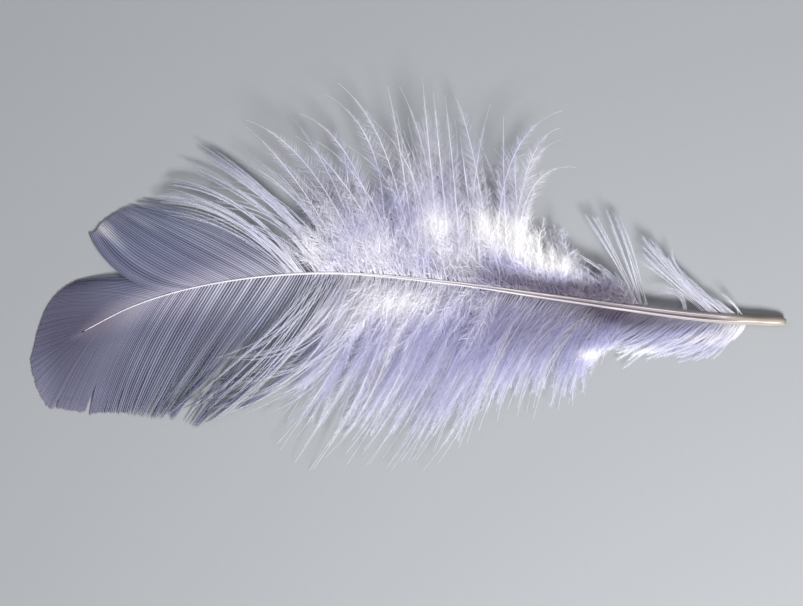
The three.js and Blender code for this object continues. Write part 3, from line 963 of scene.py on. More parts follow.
@dataclass(frozen=True)
class FibreFinish:
    """The finish of barbs or down: colours from root to tip, gloss and how much light comes through."""

    name: str
    root: Colour
    body: Colour
    tip: Colour
    tint: Colour
    root_end: float
    tip_start: float
    variety: float
    patches: float
    patch_scale: float
    roughness: Pair = (0.4, 0.6)
    sheen: float = 0.2
    sheen_roughness: float = 0.4
    specular: float = 0.35
    through: float = 0.25
    lines: float = 0.0  # height of the barbule lines, in mm
    line_strength: float = 0.6
    # painted shade that multiplies the colour along the sides of a vane's barbs
    valley_shade: Colour = (0.15, 0.155, 0.2)

    def build(self, tone: Tree, striation: Tree) -> bpy.types.Material:
        """Build the material.

        Args:
            tone: The group that colours a barb.
            striation: The group of barbule lines.

        Returns:
            The material.
        """
        material, shader, output = new_material(self.name)
        tree = material.node_tree
        colours = {"Root": self.root, "Body": self.body, "Tip": self.tip, "Tint": self.tint}
        places = {"Root End": self.root_end, "Tip Start": self.tip_start, "Patch Scale": self.patch_scale}
        amounts = {"Variety": self.variety, "Patches": self.patches}
        coloured = add_node(tree, "Group", colours | places | amounts, node_tree=tone).outputs
        colour = coloured["Color"]
        if self.lines:
            lined = add_node(tree, "Group", {}, node_tree=striation).outputs
            # painted shade in the valleys along each barb's sides
            colour = mix(tree, lined["Valley Shade"], colour, self.valley_shade, "MULTIPLY")
            raised = {"Strength": self.line_strength, "Distance": self.lines * MM, "Height": lined["Height"]}
            feed(shader.inputs["Normal"], add_node(tree, "Bump", raised).outputs[0])
        feed_all(shader, {
            "Base Color": colour,
            "Roughness": ramp(tree, coloured["Patch"], 0.0, 1.0, self.roughness),
            "Sheen Weight": self.sheen,
            "Sheen Roughness": self.sheen_roughness,
            "Specular IOR Level": self.specular,
        })
        lit = add_node(tree, "BsdfTranslucent", {"Color": colour})
        both = add_node(tree, "MixShader", {0: self.through, 1: shader.outputs[0], 2: lit.outputs[0]})
        feed(output.inputs["Surface"], both.outputs[0])
        return material


VANE_FINISH = FibreFinish(
    name="vane_barbs",
    root=(0.5, 0.51, 0.62), body=(0.24, 0.265, 0.385), tip=(0.28, 0.29, 0.4), tint=(0.98, 0.8, 0.86),
    root_end=0.35, tip_start=0.85, variety=0.45, patches=0.4, patch_scale=70.0,
    roughness=(0.45, 0.65), sheen=0.15, lines=0.02,
)
# the darker root colours of the down's finishes are painted shade along the shaft, where the barbs stand bare
DOWN_FINISH = FibreFinish(
    name="down_fibres",
    root=(0.8, 0.78, 0.86), body=(0.93, 0.92, 0.98), tip=(0.93, 0.93, 0.98), tint=(0.73, 0.72, 0.9),
    root_end=0.15, tip_start=0.7, variety=0.85, patches=0.8, patch_scale=140.0, through=0.3,
)
BED_FINISH = FibreFinish(
    name="lower_down_fibres",
    root=(0.36, 0.34, 0.42), body=(0.52, 0.51, 0.68), tip=(0.82, 0.83, 0.94), tint=(0.8, 0.8, 0.95),
    root_end=0.3, tip_start=0.5, variety=0.6, patches=0.5, patch_scale=100.0, sheen=0.15,
)
COAT_FINISH = FibreFinish(
    name="lower_down_coat",
    root=(0.46, 0.44, 0.52), body=(0.57, 0.565, 0.77), tip=(0.82, 0.83, 0.97), tint=(0.8, 0.8, 0.96),
    root_end=0.25, tip_start=0.5, variety=0.6, patches=0.5, patch_scale=100.0, sheen=0.15,
)
STRAY_FINISH = FibreFinish(
    name="stray_barbs",
    root=(0.42, 0.43, 0.52), body=(0.76, 0.77, 0.86), tip=(0.66, 0.68, 0.78), tint=(0.84, 0.82, 0.92),
    root_end=0.4, tip_start=0.7, variety=0.6, patches=0.4, patch_scale=90.0,
)
FREE_FINISH = FibreFinish(
    name="free_barbs",
    root=(0.7, 0.69, 0.76), body=(0.76, 0.77, 0.87), tip=(0.48, 0.5, 0.58), tint=(0.84, 0.82, 0.92),
    root_end=0.35, tip_start=0.65, variety=0.7, patches=0.4, patch_scale=90.0,
)
TUFT_FINISH = replace(FREE_FINISH, name="tuft_barbs", body=(0.86, 0.86, 0.94), tip=(0.7, 0.73, 0.8))
FIBRE_FINISHES = (VANE_FINISH, FREE_FINISH, STRAY_FINISH, DOWN_FINISH, BED_FINISH, COAT_FINISH, TUFT_FINISH)


@dataclass(frozen=True)
class HornFinish:
    """The finish of the shaft: clear horn over a pale core, cream at the quill, white further on, painted
    shade in the groove.
    """

    quill: Colour = (0.18, 0.155, 0.115)
    middle: Colour = (0.34, 0.312, 0.34)
    outer: Colour = (0.56, 0.54, 0.58)
    groove_shade: Colour = (0.32, 0.28, 0.3)  # painted shade: multiplies the colour in the groove
    streak: Colour = (0.2, 0.18, 0.17)  # lightens the colour in streaks
    middle_from: float = 0.0024  # metres from the quill's end, as the three below are
    middle_full: float = 0.0192
    outer_from: float = 0.0264
    outer_full: float = 0.055
    streak_scale: float = 900.0
    streak_detail: float = 4.0
    streak_stretch: float = 0.04
    streak_range: Pair = (0.35, 0.7)  # values of the noise between which a streak sets in
    relief: float = 0.04  # height of the streaks, in mm
    relief_strength: float = 0.35
    gloss_range: Pair = (0.3, 0.7)  # values of the noise between which the roughness changes
    roughness: Pair = (0.35, 0.5)
    depth_weight: float = 0.35  # how much of the light goes below the surface
    depth_reach: Colour = (1.0, 0.7, 0.5)
    depth: float = 0.8  # how deep it goes, in mm
    coat: float = 0.12
    coat_roughness: float = 0.2

    def build(self, quill_x: float) -> bpy.types.Material:
        """Build the material.

        Args:
            quill_x: The frame's x of the quill's end, in metres.

        Returns:
            The material.
        """
        material, shader, output = new_material("shaft_horn")
        tree = material.node_tree
        place = add_node(tree, "TexCoord", {}).outputs["Object"]
        x = add_node(tree, "SeparateXYZ", {0: place}).outputs["X"]
        to_middle = ramp(tree, x, quill_x - self.middle_from, quill_x - self.middle_full)
        to_outer = ramp(tree, x, quill_x - self.outer_from, quill_x - self.outer_full)
        near = mix(tree, to_middle, self.quill, self.middle)
        far = mix(tree, to_outer, near, self.outer)
        scale = (self.streak_stretch, 1.0, 1.0)
        stretched = add_node(tree, "Mapping", {"Vector": place, "Scale": scale}).outputs[0]
        noise = {"Vector": stretched, "Scale": self.streak_scale, "Detail": self.streak_detail}
        streak = add_node(tree, "TexNoise", noise).outputs["Fac"]
        streaked = mix(tree, ramp(tree, streak, *self.streak_range), far, self.streak, "SCREEN")
        relief = {"Strength": self.relief_strength, "Distance": self.relief * MM, "Height": streak}
        feed_all(shader, {
            # painted shade: darker where the groove sinks
            "Base Color": mix(tree, attribute(tree, "groove_shade"), streaked, self.groove_shade, "MULTIPLY"),
            "Roughness": ramp(tree, streak, *self.gloss_range, self.roughness),
            "Normal": add_node(tree, "Bump", relief).outputs[0],
            "Subsurface Weight": self.depth_weight,
            "Subsurface Radius": self.depth_reach,
            "Subsurface Scale": self.depth * MM,
            "Coat Weight": self.coat,
            "Coat Roughness": self.coat_roughness,
        })
        feed(output.inputs["Surface"], shader.outputs[0])
        return material


HORN_FINISH = HornFinish()


@dataclass
class Shaft(Part):
    """The bare quill and the grooved shaft that tapers out of it."""

    name: str = "grooved_shaft"
    node: str = "shaft"
    sides: int = 48
    rings: int = 99
    crowding: float = 1.15  # above 1, the rings are closer together towards the quill
    height: float = 1.15  # height over width
    groove_depth: float = 0.5  # share of the radius
    groove_width: float = 0.56  # share of the radius, from the middle to a ridge
    groove_floor: float = 0.1  # share of the radius, from the middle to where the groove's side starts
    groove_from: Pair = (6.0, 14.0)  # stations between which the groove deepens
    groove_to: Pair = (44.0, 84.0)  # stations between which it fades
    mouth: float = 0.55  # radius of the hole in the quill's end, as a share of the shaft's
    mouth_depth: float = 0.02  # share of the length
    mouth_floor: float = 0.3  # how far the hole's floor is inset, as a share of the hole
    finish: HornFinish = HORN_FINISH
    slot: Slot = Slot.SHAFT

    def build(self, line: ShaftLine) -> bpy.types.Object:
        """Model the shaft from a cylinder.

        Args:
            line: The shaft's line.

        Returns:
            The shaft's object.
        """
        bpy.ops.object.select_all(action="DESELECT")
        bpy.ops.mesh.primitive_cylinder_add(vertices=self.sides, radius=1.0, depth=1.0, location=(0, 0, 0.5))
        piece = bpy.context.object
        piece.name = piece.data.name = self.name
        bpy.ops.object.transform_apply(location=True)
        self._ring(piece)
        self._open_mouth(piece)
        self._bend(piece, line)
        bpy.ops.object.shade_smooth()
        return piece

    def _ring(self, piece: bpy.types.Object) -> None:
        """Cut the cylinder's side into rings.

        Args:
            piece: The cylinder.
        """
        self._clear("EDGE")
        mesh = piece.data
        for edge in mesh.edges:
            ends = [mesh.vertices[i].co.z for i in edge.vertices]
            edge.select = abs(ends[0] - ends[1]) > 0.5  # it runs up the cylinder, which is 1 high
        bpy.ops.object.mode_set(mode="EDIT")
        bpy.ops.mesh.subdivide(number_cuts=self.rings)
        bpy.ops.object.mode_set(mode="OBJECT")

    def _open_mouth(self, piece: bpy.types.Object) -> None:
        """Sink the small hole into the quill's end.

        Args:
            piece: The cylinder.
        """
        self._clear("FACE")
        for face in piece.data.polygons:
            face.select = face.normal.z < -0.9  # the end, which faces down
        bpy.ops.object.mode_set(mode="EDIT")
        bpy.ops.mesh.inset(thickness=1.0 - self.mouth)
        bpy.ops.mesh.extrude_region_move(TRANSFORM_OT_translate={"value": (0, 0, self.mouth_depth)})
        bpy.ops.mesh.inset(thickness=self.mouth_floor * self.mouth)
        bpy.ops.object.mode_set(mode="OBJECT")

    def _clear(self, kind: str) -> None:
        """Deselect everything in the mesh.

        Args:
            kind: What is selected from now on, "EDGE" or "FACE".
        """
        bpy.ops.object.mode_set(mode="EDIT")
        bpy.ops.mesh.select_mode(type=kind)
        bpy.ops.mesh.select_all(action="DESELECT")
        bpy.ops.object.mode_set(mode="OBJECT")

    def _bend(self, piece: bpy.types.Object, line: ShaftLine) -> None:
        """Lay the cylinder along the shaft's line, with its taper and groove.

        Args:
            piece: The cylinder.
            line: The shaft's line.
        """
        mesh = piece.data
        flat = np.empty(len(mesh.vertices) * 3)
        mesh.vertices.foreach_get("co", flat)
        points = flat.reshape(-1, 3)
        station = line.end * points[:, 2] ** self.crowding
        side, up = points[:, 0], points[:, 1]
        grooved = smoothstep(station, *self.groove_from) * (1 - smoothstep(station, *self.groove_to))
        inside = 1 - smoothstep(np.abs(side), self.groove_floor, self.groove_width)
        up = up - np.where(up > 0, self.groove_depth * grooved * inside, 0.0)
        radius = line.radius(station)
        level = line.sideways(station)
        placed = line.centre(station) + level * (side * radius)[:, None]
        placed[:, 2] += up * radius * self.height
        mesh.vertices.foreach_set("co", (placed * MM).ravel())
        # how far each point sits in the groove, where the finish paints shade
        sunk = mesh.attributes.new("groove_shade", "FLOAT", "POINT")
        sunk.data.foreach_set("value", np.where(up > 0, grooved * inside, 0.0).astype(np.float32))
        mesh.update()
        bpy.ops.object.mode_set(mode="EDIT")
        bpy.ops.mesh.select_all(action="SELECT")
        bpy.ops.mesh.normals_make_consistent(inside=False)
        bpy.ops.object.mode_set(mode="OBJECT")


FLUFF = Barbules(
    spacing=0.12,
    lengths=((0.02, 1.2), (0.15, 2.3), (0.55, 2.4), (0.8, 1.5), (0.98, 0.6)),
    width=0.034, tilt=45, frizz=0.17, swing=14, stray_width=2.2,
)
COMB = Barbules(
    spacing=0.14,
    lengths=((0.05, 1.4), (0.3, 2.8), (0.52, 2.6), (0.66, 1.6), (0.76, 0.6), (0.84, 0.25)),
    width=0.03, root_angle=50, tip_angle=38, tilt=22, frizz=0.05, swing=4,
)
LACE = Barbules(
    spacing=0.13,
    lengths=((0.05, 0.9), (0.4, 2.0), (0.62, 1.8), (0.76, 0.9), (0.86, 0.25)),
    width=0.024, root_angle=46, tip_angle=30, tilt=26, frizz=0.07, stray_width=0.5,
)
SILK = Barbules(
    spacing=0.115,
    lengths=((0.02, 0.9), (0.3, 1.8), (0.75, 1.7), (0.99, 0.8)),
    width=0.026, root_angle=48, tip_angle=16, tilt=34, frizz=0.12, swing=12, stray_width=0.6,
)
TUFTED = Barbules(
    spacing=0.09,
    lengths=((0.05, 0.3), (0.4, 0.75), (0.8, 1.0), (0.99, 0.8)),
    width=0.024, root_angle=26, tip_angle=9, tilt=30, frizz=0.06, stray_width=0.5, segments=1,
)
WISP = Barbules(
    spacing=0.12,
    lengths=((0.05, 0.15), (0.4, 0.5), (0.8, 1.0), (0.99, 0.9)),
    width=0.022, root_angle=24, tip_angle=9, tilt=40, frizz=0.08, swing=8, stray_width=0.5,
)
BLADE = Barbules(
    spacing=0.09,
    lengths=((0.08, 0.3), (0.5, 0.5), (0.9, 0.5), (0.99, 0.3)),
    width=0.035, root_angle=28, tip_angle=12, tilt=20, frizz=0.05, segments=1,
)
FINE = Barbules(
    spacing=0.1,
    lengths=((0.05, 0.25), (0.5, 0.5), (0.9, 0.5), (0.99, 0.2)),
    width=0.024, root_angle=26, tip_angle=10, tilt=25, frizz=0.05, segments=1,
)
RIM = Barbules(
    spacing=0.12,
    lengths=((0.86, 0.3), (0.95, 0.5), (1.0, 0.3)),
    width=0.035, root_angle=30, tip_angle=14, tilt=14, segments=1,
)


@dataclass(frozen=True)
class Slit:
    """A parting in a vane: where it is, from what share of the barb it is open, and how wide."""

    station: float
    start: float
    width: float


@dataclass
class Vane(Part):
    """A sheet of barbs that hold together, with slits, and with free groups where it frays."""

    name: str
    node: str
    growth: Growth
    seed: int
    closure: Pair = (1.0, 0.84)  # share of each gap that is filled, at tip and at down
    firm_closure: float = 0.99  # the same between the two
    firm_from: Pair = (84.0, 106.0)  # stations between which the barbs get firm
    slits: tuple[Slit, ...] = ()
    fray_from: float = 0.0  # station below which the barbs part into groups
    fray_full: float = 0.0  # station at which they are fully parted
    group: int = 3  # barbs in a parted group
    group_lean: float = 1.2
    group_curl: float = 2.0
    group_lift: Pair = (-0.2, 1.2)  # mm at the tip
    fringe: float = 0.13  # half width of a barb's own web where it stands free
    edge_start: float = 0.9  # share of a loose barb where it stands free at the vane's edge
    edge_firm: float = 0.12  # how much further a firm barb holds
    edge_variety: Pair = (-0.05, 0.02)
    torn: Pair = (0.75, 1.0)  # share of the barb that is free between parted groups
    loosened: Pair = (0.05, 0.45)  # the same inside a group
    unzip: Pair = (-0.02, 0.03)  # shares of the barb over which a gap opens
    slit_lead: float = 0.03  # share of the barb by which it bends aside before a slit
    slit_fade: float = 3.0  # barbs over which a slit's sides bend
    bare: float = 0.3  # how frayed the barbs are that show hairs of their own
    blunt: float = 0.9  # share of a loose barb where its end starts to narrow
    firm_blunt: float = 1.01  # the same for a firm barb
    least_end: float = 0.05  # share of the barb that the narrow end takes at least
    ridge: float = 0.07
    profile: tuple[float, ...] = (-0.5, 0.2, 1.0, 0.2, -0.5)  # height across a barb, in ridges
    places: tuple[float, ...] = (-1.0, -0.3, 0.0, 0.3, 1.0)  # places across a barb, in half widths
    smooth: float = 0.85  # how much flatter the barbs are in the feather's tip
    even: float = 0.75  # how much more even their colour is there
    gape: float = 0.25  # how much less of a gap a loose barb can fill
    shading: Pair = (0.75, 0.35)  # how strong the painted shade on a barb's sides is, and how much that varies
    finish: FibreFinish = VANE_FINISH
    slot: Slot = Slot.VANE

    def build(self, line: ShaftLine) -> bpy.types.Object:
        """Build the sheet's mesh.

        Args:
            line: The shaft's line.

        Returns:
            The sheet's object.
        """
        rng = np.random.default_rng(self.seed)
        strands = self.growth.grow(line)
        station = self.growth.stations(line)
        share, points = strands.share, strands.points.copy()
        gaps = len(station) - 1
        firm = smoothstep(station, *self.firm_from)
        tip = smoothstep(station, *TIP_ZONE)
        frayed = np.zeros(len(station))
        opened = self.edge_start + self.edge_firm * firm[1:] + rng.uniform(*self.edge_variety, gaps)
        if self.fray_from:
            frayed = 1 - smoothstep(station, self.fray_full, self.fray_from)
            points = self._fray(rng, points, frayed, strands)
            between = np.arange(gaps) % self.group == self.group - 1
            torn = np.clip(1.0 - frayed[:-1] * rng.uniform(*self.torn, gaps), 0.02, 1)
            within = 1.0 - frayed[:-1] * rng.uniform(*self.loosened, gaps)
            opened = np.minimum(opened, np.where(between, torn, within))
        for slit in self.slits:
            gap = int(np.argmin(np.abs((station[1:] + station[:-1]) / 2 - slit.station)))
            opened[gap] = min(opened[gap], slit.start)
            points = self._part(points, share, gap, slit)
        strands = Strands(points, share, strands.length, strands.pick * (1 - self.even * tip))
        mesh = FibreMesh(line.quill())
        self._add_webs(mesh, strands, opened, firm, tip)
        mesh.add_hairs(strands, RIM, self.seed + RIM_SEED)
        if self.fray_from:
            loose = frayed > self.bare
            parted = Strands(points[loose], share, strands.length[loose], strands.pick[loose])
            mesh.add_hairs(parted, BLADE, self.seed + BLADE_SEED)
        return mesh.build(self.name)

    def _fray(
        self, rng: np.random.Generator, points: np.ndarray, frayed: np.ndarray, strands: Strands
    ) -> np.ndarray:
        """Turn groups of barbs a little apart.

        Args:
            rng: The vane's random numbers.
            points: The barbs' points.
            frayed: How frayed the vane is at each barb, from 0 to 1.
            strands: The barbs before they are turned.

        Returns:
            The moved points.
        """
        groups = np.arange(len(points)) // self.group
        count = groups.max() + 1
        share = strands.share
        lean = rng.normal(0, self.group_lean, count)[groups] * frayed
        curl = rng.normal(0, self.group_curl, count)[groups] * frayed
        lift = rng.uniform(*self.group_lift, count)[groups] * frayed
        swing = np.radians(lean[:, None] * share + curl[:, None] * share**2)
        moved = points + strands.across * (swing * strands.length[:, None] * share)[..., None]
        moved[..., 2] += lift[:, None] * share**2
        return moved

    def _part(self, points: np.ndarray, share: np.ndarray, gap: int, slit: Slit) -> np.ndarray:
        """Spread the barbs on both sides of a slit.

        Args:
            points: The barbs' points.
            share: The steps' shares.
            gap: The row of the barb before the slit.
            slit: The slit.

        Returns:
            The moved points.
        """
        towards = unit(points[gap + 1] - points[gap])
        distance = np.arange(len(points)) - (gap + 0.5)
        weight = np.sign(distance) * 0.5 * slit.width * np.exp(-(np.abs(distance) - 0.5) / self.slit_fade)
        open_share = smoothstep(share, slit.start - self.slit_lead, 1.0)
        return points + weight[:, None, None] * open_share[None, :, None] * towards[None]

    def _add_webs(
        self, mesh: FibreMesh, strands: Strands, opened: np.ndarray, firm: np.ndarray, tip: np.ndarray
    ) -> None:
        """Add the barbs' ridged webs.

        Args:
            mesh: The mesh that takes them.
            strands: The barbs.
            opened: For each gap, the share from which it is open.
            firm: How firmly each barb holds to the next, from 0 to 1.
            tip: How far each is in the feather's smooth tip, from 0 to 1.
        """
        share = strands.share
        between = strands.points[1:] - strands.points[:-1]
        gap = (between * unit(strands.across[1:] + strands.across[:-1])).sum(-1)
        high, low = self.closure
        closure = low + (self.firm_closure - low) * firm[1:] + (high - self.firm_closure) * tip[1:]
        closure = closure - self.gape * (1 - firm[1:]) * strands.pick[1:]
        zipped = 1 - smoothstep(share[None, :], *(opened[:, None] + shift for shift in self.unzip))
        full = 0.5 * closure[:, None] * gap
        own = np.sign(gap) * np.minimum(np.abs(full), self.fringe)
        half = full * zipped + own * (1 - zipped)
        edge = np.sign(gap.mean()) * self.fringe * np.ones((1, len(share)))
        blunt = (self.blunt + (self.firm_blunt - self.blunt) * firm)[:, None]
        rounding = np.clip((share - blunt) / np.maximum(1 - blunt, self.least_end), 0, 1)
        taper = np.sqrt(np.clip(1 - rounding**2, 0.0, 1.0))
        after, before = np.concatenate([half, edge]) * taper, np.concatenate([edge, half]) * taper
        sides = (before, before, before, after, after)
        reach = np.stack([place * side for place, side in zip(self.places, sides)], axis=1)
        flatness = 1.0 - self.smooth * tip
        lift = np.array(self.profile)[None, :, None] * self.ridge * taper[:, None, :]
        lift = lift * flatness[:, None, None]
        across, normals = strands.across[:, None], strands.normals[:, None]
        columns = strands.points[:, None] + across * reach[..., None] + normals * lift[..., None]
        weld = (firm[1:, None] * zipped)[..., None]
        seam = (columns[:-1, -1] + columns[1:, 0]) / 2
        columns[:-1, -1] += weld * (seam - columns[:-1, -1])
        columns[1:, 0] += weld * (seam - columns[1:, 0])
        columns[..., 2] = np.maximum(columns[..., 2], CLEARANCE)
        if gap.mean() < 0:
            columns = columns[:, ::-1]
        # how far the painted shade on each barb's sides reaches across it
        dark, varied = self.shading
        depth = (flatness * (dark + varied * strands.pick))[:, None, None]
        mesh.add_sheet(columns[:, ::-1], share, strands.pick, np.array(self.places)[:, None] * depth)


@dataclass
class Layer:
    """One layer of loose barbs: their rods and their barbules."""

    growth: Growth | Traced
    barbules: Barbules
    rods: Pair = (0.09, 0.02)  # radius at root and tip
    thinning: float = 0.8  # below 1, a rod thins mostly near its root
    swell: float = 0.0  # how much thicker a rod can be where its barbules fold round it
    fold: Pair = (0.62, 0.1)  # share of the barb where they do, and over how much of it

    def add_to(self, mesh: FibreMesh, line: ShaftLine) -> None:
        """Add the layer to a mesh.

        Args:
            mesh: The mesh that takes it.
            line: The shaft's line.
        """
        strands = self.growth.grow(line)
        root, tip = self.rods
        taper = root + (tip - root) * strands.share**self.thinning
        place, width = self.fold
        folded = np.exp(-(((strands.share - place) / width) ** 2)) * strands.pick[:, None]
        mesh.add_rods(strands, taper * (1.0 + self.swell * folded))
        mesh.add_hairs(strands, self.barbules, self.growth.seed + HAIR_SEED)


@dataclass
class Bed(Part):
    """A bed of loose barbs on one side of the shaft, in one layer or more."""

    name: str
    node: str
    finish: FibreFinish
    layers: tuple[Layer, ...]
    slot: Slot = Slot.DOWN

    def build(self, line: ShaftLine) -> bpy.types.Object:
        """Build the bed's mesh.

        Args:
            line: The shaft's line.

        Returns:
            The bed's object.
        """
        mesh = FibreMesh(line.quill())
        for layer in self.layers:
            layer.add_to(mesh, line)
        return mesh.build(self.name)


VANES: tuple[Vane, ...] = (
    Vane(
        "right_tip_web", "right_vane",
        Growth(Side.RIGHT, RIGHT_TIP_GUIDES, 46, seed=51, tip_height=(0.2, 0.28), crowd=0.5, steps=30),
        seed=52,
    ),
    Vane(
        "right_lobe_web", "right_vane",
        Growth(Side.RIGHT, RIGHT_LOBE_GUIDES, 42, seed=53, tip_height=(0.3, 0.5), arch=(0.6, 0.6), steps=30),
        seed=54, firm_from=(78.0, 90.0), fray_from=86.0, fray_full=72.0,
        group=2, group_lean=0.6, group_curl=1.0,
    ),
    Vane(
        "left_web", "left_vane",
        Growth(
            Side.LEFT, LEFT_VANE_GUIDES, 118, seed=57, reach=(0.985, 1.0),
            tip_height=(0.2, 0.28), crowd=0.8, steps=30,
        ),
        seed=58, fray_from=92.0, fray_full=74.0, group_lean=1.5, group_curl=3.0,
        slits=(
            Slit(107.8, 0.9, 0.4), Slit(103.4, 0.74, 0.8), Slit(100.2, 0.88, 0.16), Slit(97.6, 0.8, 0.2),
            Slit(94.2, 0.62, 0.25), Slit(90.0, 0.55, 0.3), Slit(87.4, 0.42, 0.2), Slit(83.4, 0.3, 0.5),
            Slit(81.0, 0.25, 0.3), Slit(78.2, 0.2, 0.8), Slit(75.4, 0.12, 1.0), Slit(71.8, 0.1, 1.0),
        ),
    ),
)
FREE_BARBS: tuple[Bed, ...] = (
    Bed("right_free_blades", "right_vane", FREE_FINISH, slot=Slot.VANE, layers=(
        Layer(Traced(
            Side.RIGHT, FREE_BLADES, seed=61, copies=6, spread=0.26, slip=0.6, reach=(0.86, 1.0),
            tip_height=(0.8, 1.6), arch=(1.0, 1.5),
        ), BLADE, rods=(0.1, 0.025)),
        Layer(Traced(
            Side.RIGHT, FREE_HAIRS, seed=62, copies=3, spread=0.7, slip=0.6, reach=(0.75, 1.0),
            tip_height=(1.4, 2.4), arch=(1.2, 1.8),
        ), FINE, rods=(0.05, 0.015)),
    )),
    Bed("left_free_strands", "left_vane", STRAY_FINISH, slot=Slot.VANE, layers=(
        Layer(Traced(
            Side.LEFT, LEFT_STRAY_ROWS, seed=63, copies=4, spread=0.8, slip=0.8, reach=(0.7, 1.0),
            tip_height=(0.6, 1.8), arch=(0.6, 1.4),
        ), FINE, rods=(0.055, 0.015)),
    )),
)
DOWN: tuple[Bed, ...] = (
    Bed("right_down_bed", "right_down", BED_FINISH, (
        Layer(Growth(
            Side.RIGHT, RIGHT_WOOL_GUIDES, 120, seed=11, reach=(0.8, 1.35), lean_scatter=9, curl_scatter=16,
            tip_height=(0.3, 2.5), arch=(0.2, 1.4), sway=0.02, clump=3, pull=0.3,
        ), FLUFF, rods=(0.07, 0.02)),
    )),
    Bed("left_down_bed", "left_down", BED_FINISH, (
        Layer(Growth(
            Side.LEFT, LEFT_DOWN_GUIDES, 92, seed=21, reach=(0.5, 0.82), lean_scatter=4, curl_scatter=8,
            tip_height=(0.1, 0.8), arch=(-0.4, 0.6), sway=0.012,
        ), SILK, rods=(0.05, 0.02)),
    )),
    Bed("left_down_coat", "left_down", COAT_FINISH, (
        Layer(Growth(
            Side.LEFT, LEFT_DOWN_GUIDES, 96, seed=22, reach=(0.4, 0.78), lean_scatter=5, curl_scatter=10,
            tip_height=(0.8, 2.4), arch=(0.2, 1.2), sway=0.014,
        ), SILK, rods=(0.05, 0.015)),
    )),
    Bed("right_down_wool", "right_down", DOWN_FINISH, (
        Layer(Growth(
            Side.RIGHT, RIGHT_WOOL_GUIDES, 150, seed=12, reach=(0.5, 1.15), lean_scatter=17, curl_scatter=36,
            tip_height=(2.5, 5.6), arch=(0.6, 2.2), sway=0.035, clump=2, pull=0.3,
        ), FLUFF, rods=(0.09, 0.03)),
        Layer(Growth(
            Side.RIGHT, RIGHT_DOWN_GUIDES, 130, seed=14, reach=(0.1, 0.2), lean_scatter=2, curl_scatter=3,
            tip_height=(3.4, 4.4), arch=(0.2, 0.6),
        ), FINE, rods=(0.045, 0.02)),
    )),
    Bed("right_down_spikes", "right_down", DOWN_FINISH, (
        Layer(
            Traced(Side.RIGHT, RIGHT_SPIKE_ROWS, seed=13, tip_height=(2.0, 6.5), arch=(0.8, 2.6)),
            COMB, rods=(0.09, 0.03), swell=2.4,
        ),
        Layer(Growth(
            Side.RIGHT, RIGHT_LONG_GUIDES, 34, seed=15, reach=(0.5, 0.84), lean_scatter=11, curl_scatter=20,
            tip_height=(1.0, 5.5), arch=(0.6, 2.6), sway=0.012,
        ), COMB, rods=(0.07, 0.02)),
        Layer(Traced(
            Side.RIGHT, RIGHT_STREAK_ROWS, seed=16, copies=4, spread=0.5, slip=0.5, reach=(0.8, 1.0),
            tip_height=(1.5, 3.2), arch=(0.4, 1.2),
        ), FINE, rods=(0.05, 0.015)),
    )),
    Bed("left_down_tips", "left_down", COAT_FINISH, (
        Layer(Growth(
            Side.LEFT, LEFT_DOWN_GUIDES, 62, seed=26, reach=(0.62, 0.92), lean_scatter=4, curl_scatter=8,
            tip_height=(0.6, 2.6), arch=(0.2, 1.6), sway=0.01,
        ), LACE, rods=(0.06, 0.02)),
    )),
    Bed("left_down_fringe", "left_down", COAT_FINISH, (
        Layer(Growth(
            Side.LEFT, LEFT_FRINGE_GUIDES, 170, seed=24, reach=(0.6, 1.0), lean_scatter=5, curl_scatter=9,
            tip_height=(0.1, 1.6), arch=(0.0, 0.7), sway=0.015, clump=4, pull=0.35,
        ), TUFTED, rods=(0.045, 0.012)),
    )),
    Bed("left_down_spikes", "left_down", DOWN_FINISH, (
        Layer(Traced(
            Side.LEFT, LEFT_SPIKE_ROWS, seed=23, copies=2, spread=0.7, slip=1.0, reach=(0.86, 1.0),
            tip_height=(0.1, 1.8), arch=(0.0, 1.2),
        ), LACE, rods=(0.065, 0.022), swell=1.2),
    )),
    Bed("left_down_wool", "left_down", DOWN_FINISH, (
        Layer(Growth(
            Side.LEFT, LEFT_WOOL_GUIDES, 76, seed=25, reach=(0.15, 0.48), lean_scatter=12, curl_scatter=22,
            tip_height=(1.5, 4.0), arch=(0.6, 1.6), sway=0.03, clump=2, pull=0.3,
        ), FLUFF, rods=(0.09, 0.03)),
        Layer(Growth(
            Side.LEFT, LEFT_DOWN_GUIDES, 190, seed=27, reach=(0.12, 0.24), lean_scatter=2, curl_scatter=3,
            tip_height=(2.4, 3.4), arch=(0.2, 0.6),
        ), FINE, rods=(0.04, 0.02)),
    )),
    Bed("right_split_strands", "right_split_tuft", TUFT_FINISH, (
        Layer(Traced(
            Side.RIGHT, SPLIT_TUFT_ROWS, seed=31, copies=3, spread=0.3, slip=0.26, reach=(0.8, 1.0),
            tip_height=(2.0, 3.0), arch=(0.3, 0.9),
        ), WISP, rods=(0.045, 0.015)),
    )),
    Bed("right_base_strands", "right_base_tuft", TUFT_FINISH, (
        Layer(Traced(
            Side.RIGHT, BASE_TUFT_ROWS, seed=41, copies=4, spread=0.5, slip=0.4, reach=(0.72, 1.0),
            tip_height=(1.5, 3.0), arch=(0.2, 0.9),
        ), WISP, rods=(0.042, 0.013)),
    )),
)


@dataclass(frozen=True)
class Lamp:
    """A soft square light that faces the feather."""

    name: str
    place: tuple[float, float, float]  # metres, as its size is
    power: float
    size: float
    colour: Colour

    def hang(self) -> None:
        """Add the light to the scene."""
        lamp = bpy.data.lights.new(self.name, "AREA")
        lamp.energy = self.power
        lamp.size = self.size
        lamp.color = self.colour
        holder = bpy.data.objects.new(self.name, lamp)
        holder.location = self.place
        holder.rotation_euler = (-Vector(self.place)).to_track_quat("-Z", "Y").to_euler()
        bpy.context.scene.collection.objects.link(holder)


